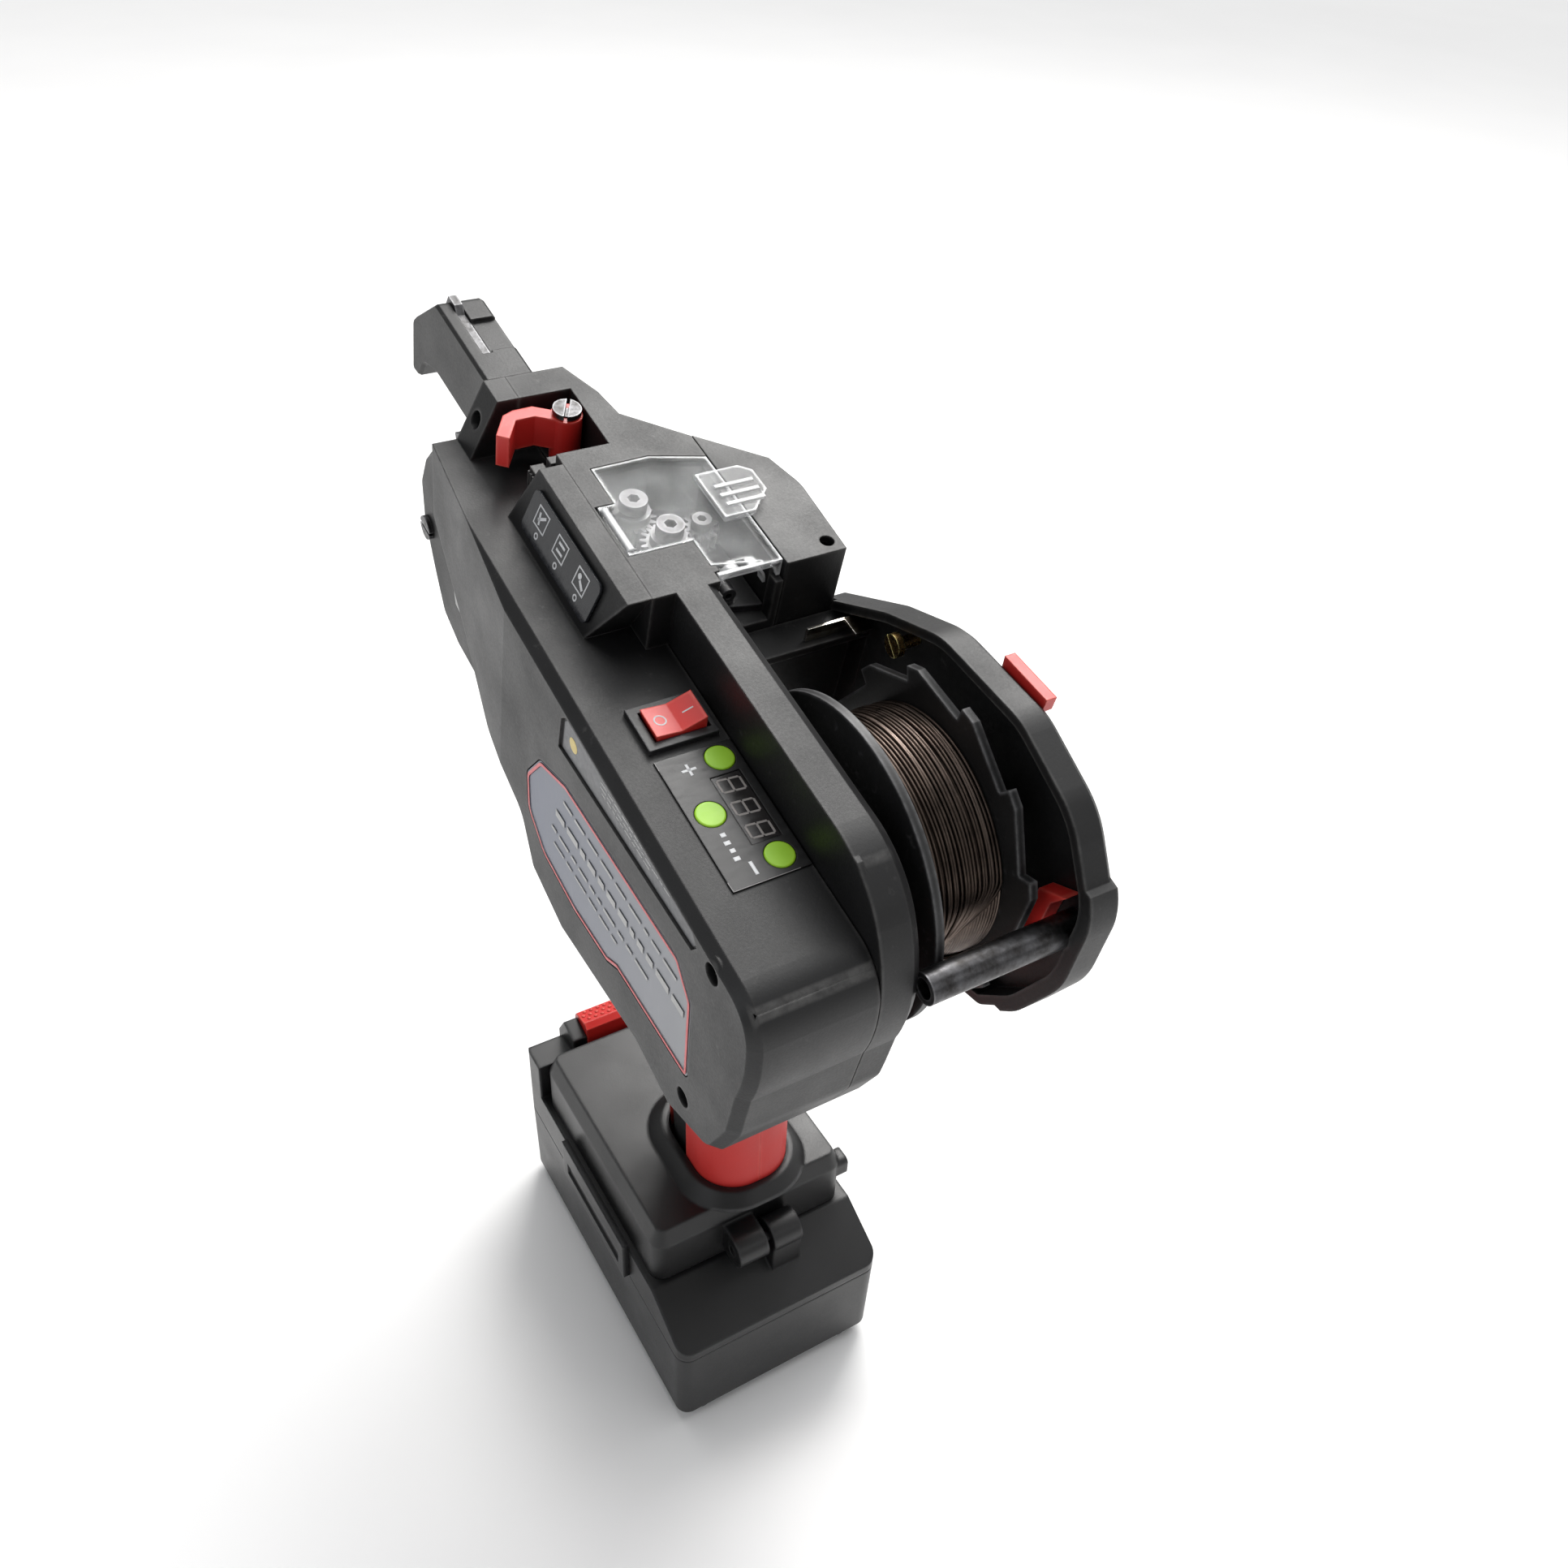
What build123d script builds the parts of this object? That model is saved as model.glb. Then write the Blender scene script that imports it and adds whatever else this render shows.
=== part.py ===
"""Cordless rebar tying tool with a wire reel: body, nose, reel, handle and battery.

World frame: +X towards the nose, +Y to the left, +Z up, origin on the floor
under the battery.  The body is pitched nose-up on the handle, so its pieces are
drawn in body coordinates: s forward along the body, y left, h up from the reel axis.
"""
from build123d import *
import os
from math import atan2, cos, degrees, pi, radians, sin

os.makedirs("parts", exist_ok=True)

# ---------------------------------------------------------------- driving sizes
BODY_PITCH = 13.6
REEL_X = -44.15
REEL_Z = 223.96

WALL = 2.5
GAP = 0.3
RUN = 0.05

# body shells, in body coordinates
DRUM_R = 49.5
TOP_H = 42.0
DECK_H = 23.3
LEFT_Y = 39.0
LEFT_BEVEL = 3.0
RIGHT_BEVEL = 2.6
DECK_ROUND = 14.0
RIDGE_ROUND = 30.0
SEAM_Y = 4.5
RIGHT_Y = -7.5
RIDGE_WALL = 1.6
COLLAR_S = 163.0
HEAD_S = 66.0
HEAD_Y = -29.0
HEAD_LEFT_Y = 11.0
HEAD_LOW_H = -28.0
HEAD_FRONT_S = 122.6
WINDOW_S = (126.5, 152.7)

# reel
REEL_R = 45.6
WIRE_R = 36.5
CORE_R = 20.0
SPINDLE_R = 8.0
RATCHET_TEETH = 12
RATCHET_HIGH = 46.0
RATCHET_LOW = 41.7
REEL_LEFT_Y = -14.0
FLANGE_T = 2.4
REEL_RIGHT_Y = -44.4

# reel guard
GUARD_IN_Y = -48.0
GUARD_OUT_Y = -57.0
TUBE_R = 4.4
TUBE_S = -48.5
TUBE_H = 12.8

# wire feed
GEAR_MODULE = 0.8
PINION_TEETH = 12
FEED_TEETH = 18
IDLER_TEETH = 16
FEED_S = 95.6
FEED_Y = -9.5
GEAR_H = 25.2
GEAR_T = 5.0
POCKET_H = 22.0
MOTOR_R = 12.0

# twist drive
TWIST_Y = 9.5
TWIST_H = 2.0
SPINDLE_BORE = 6.05

# handle, foot and battery, in world coordinates
HANDLE_Y = -3.0
HANDLE_LOW = (-12.5, 74.0, 43.0, 32.0)
HANDLE_TOP = (-8.5, 167.9, 46.0, 34.0)
HANDLE_CORNER = 14.0
GRIP_T = 1.6
FOOT_X = (-35.5, 52.0)
FOOT_HALF = 35.5
FOOT_Z = (53.0, 76.0)
BATTERY_X = (-57.8, 65.9)
BATTERY_HALF = 37.85
CASE_Z = (2.6, 38.5)
BATTERY_FOOT_R = 4.0
SEAM_GROOVE = 0.5
PLATFORM_Z = 52.7
KNUCKLE_X = -42.0
KNUCKLE_Z = 62.0
KNUCKLE_R = 5.8
PIN_R = 2.0
CELL_R = 9.2
CELL_LENGTH = 65.0

# ---------------------------------------------------------------- body coordinates
COS_P = cos(radians(BODY_PITCH))
SIN_P = sin(radians(BODY_PITCH))
FORWARD = Vector(COS_P, 0, SIN_P)
UPWARD = Vector(-SIN_P, 0, COS_P)


def spot(s, y, h):
    """World position of a point given in body coordinates."""
    return Vector(REEL_X, 0, REEL_Z) + FORWARD * s + Vector(0, y, 0) + UPWARD * h


def side(y):
    """Sketch plane across the body at y: local x is s, local y is h, normal to the right."""
    return Plane(origin=spot(0, y, 0), x_dir=FORWARD, z_dir=(0, -1, 0))


def deck(h):
    """Sketch plane level with the deck at h: local x is s, local y is y, normal up."""
    return Plane(origin=spot(0, 0, h), x_dir=FORWARD, z_dir=UPWARD)


def across(s):
    """Sketch plane square to the body at s: local x is y, local y is h, normal forward."""
    return Plane(origin=spot(s, 0, 0), x_dir=(0, 1, 0), z_dir=FORWARD)


def body_box(s, y, h, mode=Mode.ADD):
    """Block between two limits in each body direction."""
    with BuildPart(mode=Mode.PRIVATE) as block:
        with BuildSketch(deck(h[0])):
            with Locations(((s[0] + s[1]) / 2, (y[0] + y[1]) / 2)):
                Rectangle(s[1] - s[0], y[1] - y[0])
        extrude(amount=h[1] - h[0])
    add(block.part, mode=mode)


def world_box(x, y, z, mode=Mode.ADD):
    """Block between two limits in each world direction."""
    with Locations(((x[0] + x[1]) / 2, (y[0] + y[1]) / 2, (z[0] + z[1]) / 2)):
        Box(x[1] - x[0], y[1] - y[0], z[1] - z[0], mode=mode)


# ---------------------------------------------------------------- shared outlines
BELLY = [(39, 42, 30), (163, 42, 0), (163, -4, 0), (132, -22, 10), (108, -43, 12), (80, -50, 8),
         (70, -65, 5), (47, -68.7, 2), (-1.3, -57, 2), (-22, -58.5, 9), (-43.5, -46, 10), (-48.8, -27, 14),
         (-48.6, 0, 10), (12, 48, 14)]
GUARD = [(22, 49.9, 25), (-12, 53.5, 20), (-38, 46, 24), (-54.5, 27, 20), (-56, 0, 30), (-48, -24, 25),
         (-38, -38.5, 6), (-8, -51.5, 20), (36, -41, 20), (HEAD_S + 6, HEAD_LOW_H, 4), (HEAD_S + 6, 18, 4),
         (44, 38, 25)]
NAMEPLATE = [(68, -12, 6), (52, -4.5, 4), (-13, 4, 3), (-22, -4, 3), (-27, -33, 2), (13, -39.5, 1), (19, -44, 2),
             (40, -48, 6), (62, -48, 8), (74, -40, 6), (76, -26, 6)]
COVER_HINGE = (8.3, 41.4)
FEED_COVER = [(117.7, 4.5), (118, -13), (112.9, -28.8), (68, -28.8), (72.3, -9.2), (82.6, -9.2),
              (82.6, 9.6), (102.5, 9.6), (102.5, 4.5)]
COVER_PLAN = [(122.6, -29.3), (107, -46), (94, -49.3), (66.2, -48), (66.2, -29.3)]
HEAD_PLAN = [(66, 11), (163, 11), (163, -7), (149, -12), (138, -13.5), (122.6, -29), (66, -29)]
NOSE = [(163.1, -4.6, 0), (166, 14, 3), (176, 11, 7), (187, 0, 8), (192, -13, 8), (190, -28, 10),
        (181, -44, 12), (173, -56, 6), (160, -60, 6), (134, -60, 5), (120, -49, 4), (110, -44, 0),
        (132.3, -22.9, 4)]
ARM = [(163, 42, 0), (202, 42, 4), (222.5, 24, 5), (224, 4.5, 1.5), (218.5, 5, 1.5), (213, 14, 8),
       (201, 17.5, 5), (163, 18, 0)]
PANEL_BUTTONS = [("button_plus", 25.4, 10.2), ("button_mode", 10.2, 20.8), ("button_minus", -6.9, 10.8)]
DIGITS_S = (1.7, 9.2, 16.7)
DIGITS_Y = 11.5
ROCKER = (40.0, 15.8)
LEFT_SCREWS = [(-27, -43), (-27, 17.5)]
COLLAR_SCREW = (158.5, 32.5)
STRIP = [(57.5, 5.4), (-17.5, 14), (-19.5, 17.5), (-16.5, 20), (54.5, 19.8), (57, 17)]

# ================================================================ body shells
def rounded_outline(corners):
    """Closed outline; each corner is (x, y, radius of its round)."""
    with BuildLine() as line:
        FilletPolyline(*[corner[:2] for corner in corners], radius=[corner[2] for corner in corners], close=True)
    make_face(line.edges())


def belly_outline(top, inset=0.0, front=170.0, rear_round=0.0):
    """Side outline of the body below the height top and behind the station front."""
    rounded_outline(BELLY)
    Circle(DRUM_R)
    if inset:
        offset(amount=-inset)
    with Locations((60, top + 40)):
        Rectangle(400, 80, mode=Mode.SUBTRACT)
    if rear_round:
        fillet(vertices().group_by(Axis.Y)[-1].sort_by(Axis.X)[0], rear_round)
    with Locations((front + 50, 0)):
        Rectangle(100, 300, mode=Mode.SUBTRACT)


def slanted_block(low, high):
    """Raised block on the deck whose left wall leans inwards; low and high are (s, s, y)."""
    with BuildPart(mode=Mode.PRIVATE) as block:
        for h, (rear, front, left) in ((DECK_H - 1, low), (TOP_H, high)):
            with BuildSketch(deck(h)):
                Polygon((rear, HEAD_LEFT_Y), (front, HEAD_LEFT_Y), (front, left), (rear, left), align=None)
        loft()
    add(block.part)


def twist_bore():
    """Bearing bore of the twist spindle through the front wall."""
    with BuildPart(mode=Mode.PRIVATE) as bore:
        with BuildSketch(across(150)):
            with Locations((TWIST_Y, TWIST_H)):
                Circle(SPINDLE_BORE)
        extrude(amount=20)
    add(bore.part, mode=Mode.SUBTRACT)


with BuildPart() as left_housing:
    with BuildSketch(side(LEFT_Y - LEFT_BEVEL)):
        belly_outline(DECK_H, rear_round=DECK_ROUND)
    extrude(amount=LEFT_Y - LEFT_BEVEL - SEAM_Y)
    extrude(left_housing.faces().sort_by(Axis.Y)[-1], amount=LEFT_BEVEL, taper=40)
    with BuildSketch(deck(80)):
        Polygon((95, LEFT_Y), (165, 33), (165, 60), (95, 60), align=None)
    extrude(amount=-160, mode=Mode.SUBTRACT)
    with BuildSketch(side(LEFT_Y - WALL)):
        belly_outline(DECK_H - WALL, WALL, 104)
    extrude(amount=LEFT_Y - WALL - SEAM_Y, mode=Mode.SUBTRACT)
    body_box((103, 158), (SEAM_Y, 30), (-12, DECK_H - WALL), Mode.SUBTRACT)
    twist_bore()
    slanted_block((76, 127, 25), (66, 122, 18))
    slanted_block((WINDOW_S[1], COLLAR_S, 26), (WINDOW_S[1], COLLAR_S, 17.5))
    body_box((127, 132), (12.2, 16.2), (DECK_H - 1, 35))
    body_box((127, 130), (HEAD_LEFT_Y - 5, 12.2), (DECK_H - 1, 38.5))
    for tooth in range(3):
        body_box((128 + tooth * 1.4, 128.8 + tooth * 1.4), (16.1, 17), (28, 34))
    body_box((DIGITS_S[0] - 4.4, DIGITS_S[2] + 4.4), (DIGITS_Y - 4.6, DIGITS_Y + 4.6), (18, 26), Mode.SUBTRACT)
    body_box((ROCKER[0] - 6.7, ROCKER[0] + 6.7), (ROCKER[1] - 9.3, ROCKER[1] + 9.3), (18, 26), Mode.SUBTRACT)
    with BuildSketch(deck(26)):
        with Locations(*[(s, y) for _, s, y in PANEL_BUTTONS]):
            Circle(4.1)
    extrude(amount=-8, mode=Mode.SUBTRACT)
    with BuildSketch(side(LEFT_Y)):
        rounded_outline(NAMEPLATE)
        offset(amount=0.4)
    extrude(amount=1.0, mode=Mode.SUBTRACT)
    with BuildSketch(side(LEFT_Y)):
        Polygon(*STRIP, align=None)
    extrude(amount=0.7, mode=Mode.SUBTRACT)
    with BuildSketch(side(LEFT_Y - WALL / 2)):
        with Locations(*LEFT_SCREWS):
            Circle(4.8)
    extrude(amount=LEFT_Y - WALL / 2 - SEAM_Y)
    with BuildSketch(side(LEFT_Y)):
        with Locations(*LEFT_SCREWS):
            Circle(3.0)
    extrude(amount=16, mode=Mode.SUBTRACT)
    with BuildSketch(side(30)):
        with Locations(COLLAR_SCREW):
            Circle(2.6)
    extrude(amount=16, mode=Mode.SUBTRACT)
left_housing.part.label = "left_housing"
export_step(left_housing.part, "parts/left_housing.step")

with BuildPart() as right_housing:
    with BuildSketch(side(SEAM_Y - GAP)):
        belly_outline(TOP_H, 0, COLLAR_S, RIDGE_ROUND)
    extrude(amount=SEAM_Y - GAP - RIGHT_Y - RIGHT_BEVEL)
    extrude(right_housing.faces().sort_by(Axis.Y)[0], amount=RIGHT_BEVEL, taper=35)
    with BuildSketch(deck(TOP_H)):
        Polygon(*HEAD_PLAN, align=None)
    extrude(amount=-(TOP_H - DECK_H))
    body_box((HEAD_S, HEAD_FRONT_S), (HEAD_Y, RIGHT_Y + 2), (HEAD_LOW_H, DECK_H))
    with BuildSketch(side(SEAM_Y)):
        belly_outline(TOP_H - WALL, WALL, 62)
    extrude(amount=SEAM_Y - RIGHT_Y - WALL, mode=Mode.SUBTRACT)
    with BuildSketch(side(SEAM_Y - GAP)):
        belly_outline(TOP_H - WALL / 2, WALL / 2, HEAD_S + 1)
        with Locations((0, DECK_H - WALL - 100)):
            Rectangle(400, 200, mode=Mode.SUBTRACT)
    extrude(amount=RIDGE_WALL)
    body_box((60, 158), (RIGHT_Y + WALL, SEAM_Y), (-18, POCKET_H - WALL), Mode.SUBTRACT)
    body_box((60, 100), (RIGHT_Y + WALL, SEAM_Y), (-42.5, -10), Mode.SUBTRACT)
    with BuildSketch(deck(TOP_H)):
        Polygon(*FEED_COVER, align=None)
        offset(amount=GAP)
    extrude(amount=-2.2, mode=Mode.SUBTRACT)
    with BuildSketch(deck(TOP_H)):
        Polygon(*FEED_COVER, align=None)
        offset(amount=-1.4)
    extrude(amount=-(TOP_H - POCKET_H), mode=Mode.SUBTRACT)
    body_box((65, 75), (-26.6, -10.4), (POCKET_H, TOP_H), Mode.SUBTRACT)
    body_box((65, 69.7), (HEAD_Y - 1, -8.8), (36, TOP_H + 1), Mode.SUBTRACT)
    with BuildSketch(across(82.3)):
        with Locations(COVER_HINGE):
            Circle(2.15)
    extrude(amount=20.6, mode=Mode.SUBTRACT)
    body_box((WINDOW_S[0], WINDOW_S[1]), (-5, 30), (DECK_H, TOP_H + 1), Mode.SUBTRACT)
    with BuildSketch(deck(POCKET_H + 1)):
        with Locations((98.5, -21.14)):
            Circle(MOTOR_R + 0.4)
    extrude(amount=-46, mode=Mode.SUBTRACT)
    body_box((82, 116), (HEAD_Y - 1, -20), (HEAD_LOW_H + WALL, POCKET_H - WALL), Mode.SUBTRACT)
    twist_bore()
    with BuildSketch(side(RIGHT_Y + 1)):
        Circle(12)
    extrude(amount=5)
    with BuildSketch(side(RIGHT_Y - 4)):
        Circle(SPINDLE_R - RUN)
    extrude(amount=10)
    extrude(right_housing.faces().filter_by(Axis.Y).filter_by(
        lambda face: abs(face.center().Y - RIGHT_Y + 14) < 0.1), amount=2, taper=40)
right_housing.part.label = "right_housing"
export_step(right_housing.part, "parts/right_housing.step")

with BuildPart() as front_right_cover:
    with BuildSketch(deck(TOP_H)) as cover_plan:
        Polygon(*COVER_PLAN, align=None)
        fillet(cover_plan.vertices().group_by(Axis.Y)[0], 16)
        fillet(cover_plan.vertices().sort_by(Axis.X)[0:1], 0.5)
    extrude(amount=-(TOP_H - HEAD_LOW_H))
    with BuildSketch(deck(TOP_H - WALL)):
        Polygon(*COVER_PLAN, align=None)
        offset(amount=-WALL)
        with Locations((98, -31)):
            Rectangle(40, 6)
    extrude(amount=-(TOP_H - HEAD_LOW_H - 2 * WALL), mode=Mode.SUBTRACT)
    with BuildSketch(deck(TOP_H)):
        with Locations((70.5, -44.2)):
            Circle(2.1)
    extrude(amount=-14, mode=Mode.SUBTRACT)
front_right_cover.part.label = "front_right_cover"
export_step(front_right_cover.part, "parts/front_right_cover.step")

# ================================================================ nose
with BuildPart() as lower_nose:
    with BuildSketch(side(25)):
        rounded_outline(NOSE)
    extrude(amount=31)
    extrude(lower_nose.faces().sort_by(Axis.Y)[-1], amount=2, taper=40)
    extrude(lower_nose.faces().sort_by(Axis.Y)[0], amount=2, taper=40)
    body_box((COLLAR_S, 200), (0.5, 18.5), (-14, 20), Mode.SUBTRACT)
    body_box((172, 200), (6, 13), (-40, -10), Mode.SUBTRACT)
    with BuildSketch(side(28)):
        with Locations((184.5, -28)):
            Circle(2.6)
    extrude(amount=40, mode=Mode.SUBTRACT)
lower_nose.part.label = "lower_nose"
export_step(lower_nose.part, "parts/lower_nose.step")

with BuildPart() as curl_arm:
    with BuildSketch(side(16)):
        rounded_outline(ARM)
    extrude(amount=13)
    extrude(curl_arm.faces().sort_by(Axis.Y)[-1], amount=1, taper=35)
    extrude(curl_arm.faces().sort_by(Axis.Y)[0], amount=1, taper=35)
    body_box((175, 210), (9.7, 12.7), (30, 50), Mode.SUBTRACT)
    body_box((176, 192), (1, 9.7), (40.8, 45), Mode.SUBTRACT)
curl_arm.part.label = "curl_arm"
export_step(curl_arm.part, "parts/curl_arm.step")

with BuildPart() as curl_guide:
    with BuildSketch(side(12.5)):
        Polygon((175.5, 31), (207, 31), (207, 36), (203, 43.4), (198, 43.4), (196, 41), (175.5, 41), align=None)
    extrude(amount=2.6)
curl_guide.part.label = "curl_guide"
export_step(curl_guide.part, "parts/curl_guide.step")

with BuildPart() as lower_finger:
    with BuildSketch(side(12.4)):
        with Locations((184.5, -28)):
            Circle(5)
        Polygon((180.5, -31), (188.8, -28), (195, -14), (199, -4), (195, -2), (188, -10), (181, -13),
                (178, -20), align=None)
    extrude(amount=5.8)
    with BuildSketch(side(20)):
        with Locations((184.5, -28)):
            Circle(2.6)
    extrude(amount=20, mode=Mode.SUBTRACT)
lower_finger.part.label = "lower_finger"
export_step(lower_finger.part, "parts/lower_finger.step")

with BuildPart() as finger_pin:
    with BuildSketch(side(27.6)):
        with Locations((184.5, -28)):
            Circle(2.6 - RUN)
    extrude(amount=35)
    with BuildSketch(side(28.6)):
        with Locations((184.5, -28)):
            Circle(4)
            Rectangle(8, 1, mode=Mode.SUBTRACT)
    extrude(amount=1.5)
finger_pin.part.label = "finger_pin"
export_step(finger_pin.part, "parts/finger_pin.step")

with BuildPart() as twist_hook:
    with BuildSketch(across(128)):
        with Locations((TWIST_Y, TWIST_H)):
            Circle(SPINDLE_BORE - RUN)
    extrude(amount=39)
    with BuildSketch(across(167)):
        with Locations((TWIST_Y, TWIST_H)):
            Circle(4.6)
    extrude(amount=1.5)
    with BuildSketch(across(168.5)):
        with Locations((TWIST_Y, TWIST_H)):
            Rectangle(4.4, 12)
            with Locations((0, 0)):
                Rectangle(6, 2.4, mode=Mode.SUBTRACT)
    extrude(amount=8)
    with BuildSketch(across(174)):
        with Locations((TWIST_Y, TWIST_H)):
            Rectangle(4.4, 3.4)
    extrude(amount=2.5)
twist_hook.part.label = "twist_hook"
export_step(twist_hook.part, "parts/twist_hook.step")

with BuildPart() as twist_gearmotor:
    for start, length, radius in ((50, 3, 5), (53, 45, 14), (98, 4, 10), (102, 25.9, 14)):
        with BuildSketch(across(start)):
            with Locations((TWIST_Y + 2, TWIST_H)):
                Circle(radius)
        extrude(amount=length)
twist_gearmotor.part.label = "twist_gearmotor"
export_step(twist_gearmotor.part, "parts/twist_gearmotor.step")

# ================================================================ wire feed
MESH_ANGLE = atan2(-21.14 - FEED_Y, 98.5 - FEED_S)


def gear_outline(teeth, phase):
    """Straight-flanked spur gear profile; phase is the angle of one tooth's middle, in radians."""
    pitch_radius = GEAR_MODULE * teeth / 2
    pitch_angle = 2 * pi / teeth
    flank = [(-0.30, -1.25), (-0.22, 0.0), (-0.12, 0.85), (0.12, 0.85), (0.22, 0.0), (0.30, -1.25)]
    points = []
    for tooth in range(teeth):
        for share, height in flank:
            angle = phase + (tooth + share) * pitch_angle
            radius = pitch_radius + height * GEAR_MODULE
            points.append((radius * cos(angle), radius * sin(angle)))
    Polygon(*points, align=None)


def centre_distance(first, second):
    """Distance between two meshed gears, with a little backlash."""
    return GEAR_MODULE * (first + second) / 2 + 0.1


PINION_AT = (FEED_S + centre_distance(PINION_TEETH, FEED_TEETH) * cos(MESH_ANGLE),
             FEED_Y + centre_distance(PINION_TEETH, FEED_TEETH) * sin(MESH_ANGLE))
IDLER_ANGLE = radians(22)
IDLER_AT = (FEED_S + centre_distance(IDLER_TEETH, FEED_TEETH) * cos(IDLER_ANGLE),
            FEED_Y + centre_distance(IDLER_TEETH, FEED_TEETH) * sin(IDLER_ANGLE))
FEED_PHASE = MESH_ANGLE
IDLER_PHASE = IDLER_ANGLE + pi + pi / IDLER_TEETH + (IDLER_ANGLE - FEED_PHASE) * FEED_TEETH / IDLER_TEETH

with BuildPart() as feed_base:
    with BuildSketch(deck(POCKET_H)):
        Polygon(*FEED_COVER, align=None)
        offset(amount=-1.8)
        with Locations(PINION_AT):
            Circle(3.2, mode=Mode.SUBTRACT)
    extrude(amount=2)
    body_box((80, 120), (SEAM_Y - GAP, 12), (POCKET_H - 1, POCKET_H + 3), Mode.SUBTRACT)
    body_box((74, 81), (-19.5, -14.5), (POCKET_H + 1, 25.4))
    with BuildSketch(across(73)):
        with Locations((-17, 27.5)):
            Circle(2.4)
            Circle(1.0, mode=Mode.SUBTRACT)
    extrude(amount=9)
feed_base.part.label = "feed_base"
export_step(feed_base.part, "parts/feed_base.step")

with BuildPart() as gear_axles:
    for centre in ((FEED_S, FEED_Y), IDLER_AT):
        with BuildSketch(deck(POCKET_H + 2)):
            with Locations(centre):
                Circle(2.5)
        extrude(amount=9.5)
        with BuildSketch(deck(POCKET_H + 11.5)):
            with Locations(centre):
                Circle(4.0)
                RegularPolygon(1.8, 6, mode=Mode.SUBTRACT)
        extrude(amount=3.5)
gear_axles.part.label = "gear_axles"
export_step(gear_axles.part, "parts/gear_axles.step")

for name, centre, teeth, phase in (("feed_gear", (FEED_S, FEED_Y), FEED_TEETH, FEED_PHASE),
                                   ("idler_gear", IDLER_AT, IDLER_TEETH, IDLER_PHASE)):
    with BuildPart() as gear:
        with BuildSketch(deck(GEAR_H)):
            with Locations(centre):
                gear_outline(teeth, phase)
        extrude(amount=GEAR_T)
        with BuildSketch(deck(GEAR_H + GEAR_T)):
            with Locations(centre):
                Circle(5.2)
        extrude(amount=2.8)
        with BuildSketch(deck(GEAR_H - 1)):
            with Locations(centre):
                Circle(2.5 + RUN)
        extrude(amount=12, mode=Mode.SUBTRACT)
    gear.part.label = name
    export_step(gear.part, "parts/" + name + ".step")

with BuildPart() as feed_pinion:
    with BuildSketch(deck(GEAR_H)):
        with Locations(PINION_AT):
            gear_outline(PINION_TEETH, MESH_ANGLE + pi + pi / PINION_TEETH)
    extrude(amount=GEAR_T)
    with BuildSketch(deck(GEAR_H + GEAR_T)):
        with Locations(PINION_AT):
            Circle(2.8)
    extrude(amount=3)
    with BuildSketch(deck(GEAR_H + GEAR_T + 3)):
        with Locations(PINION_AT):
            RegularPolygon(1.4, 6)
    extrude(amount=-2, mode=Mode.SUBTRACT)
    with BuildSketch(deck(POCKET_H - 3)):
        with Locations(PINION_AT):
            Circle(1.5)
    extrude(amount=GEAR_H - POCKET_H + 3)
feed_pinion.part.label = "feed_pinion"
export_step(feed_pinion.part, "parts/feed_pinion.step")

with BuildPart() as feed_motor:
    with BuildSketch(deck(POCKET_H - WALL - 1)):
        with Locations(PINION_AT):
            Circle(MOTOR_R)
            Circle(1.5 + RUN, mode=Mode.SUBTRACT)
    extrude(amount=-38)
feed_motor.part.label = "feed_motor"
export_step(feed_motor.part, "parts/feed_motor.step")

with BuildPart() as feed_cover:
    with BuildSketch(deck(TOP_H)):
        Polygon(*FEED_COVER, align=None)
    extrude(amount=-2)
    with BuildSketch(across(68)):
        Polygon((-9.3, 42), (-28.8, 42), (-28.8, 36.5), (-27.6, 36.5), (-26.2, 40), (-10.6, 40), (-9.3, 38),
                align=None)
    extrude(amount=1.2)
    with BuildSketch(across(70.6)):
        with Locations((-18.5, 32.2)):
            Circle(7.9)
            Circle(7.1, mode=Mode.SUBTRACT)
            Rectangle(24, 24, align=(Align.CENTER, Align.MAX), mode=Mode.SUBTRACT)
    extrude(amount=3)
    with BuildSketch(across(84)):
        with Locations(COVER_HINGE):
            Circle(1.45)
            Circle(0.8, mode=Mode.SUBTRACT)
    extrude(amount=17)
feed_cover.part.label = "feed_cover"
export_step(feed_cover.part, "parts/feed_cover.step")

with BuildPart() as cover_latch:
    with BuildSketch(deck(TOP_H + 0.4)) as latch_plan:
        Polygon((86, -20.5), (104.5, -20.5), (104.5, -34), (101.5, -37.3), (93, -37.3), (90, -34), (86, -30),
                align=None)
    extrude(amount=1.8)
    for low in (89.5, 93.2, 96.9):
        body_box((low, low + 1.2), (-35, -23), (TOP_H + 2, TOP_H + 2.9))
cover_latch.part.label = "cover_latch"
export_step(cover_latch.part, "parts/cover_latch.step")

# ================================================================ release lever
with BuildPart() as release_lever:
    with BuildSketch(deck(DECK_H + 2)):
        with Locations((144.3, -0.2)):
            Circle(4.6)
            Circle(2.0 + RUN, mode=Mode.SUBTRACT)
    extrude(amount=15)
    with BuildSketch(deck(30)):
        Polygon((142.5, 4.0), (147, 3.2), (150.2, 8), (150, 14), (148.6, 17.5), (141, 22.6), (138.6, 19.6),
                (145.6, 14.8), (145.8, 9), align=None)
    extrude(amount=10.3)
release_lever.part.label = "release_lever"
export_step(release_lever.part, "parts/release_lever.step")

with BuildPart() as lever_screw:
    with BuildSketch(deck(DECK_H)):
        with Locations((144.3, -0.2)):
            Circle(2.0)
    extrude(amount=17.4)
    with BuildSketch(deck(DECK_H + 17.4)):
        with Locations((144.3, -0.2)):
            Circle(4.2)
            Rectangle(1.0, 9, rotation=60, mode=Mode.SUBTRACT)
    extrude(amount=1.6)
lever_screw.part.label = "lever_screw"
export_step(lever_screw.part, "parts/lever_screw.step")

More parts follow.
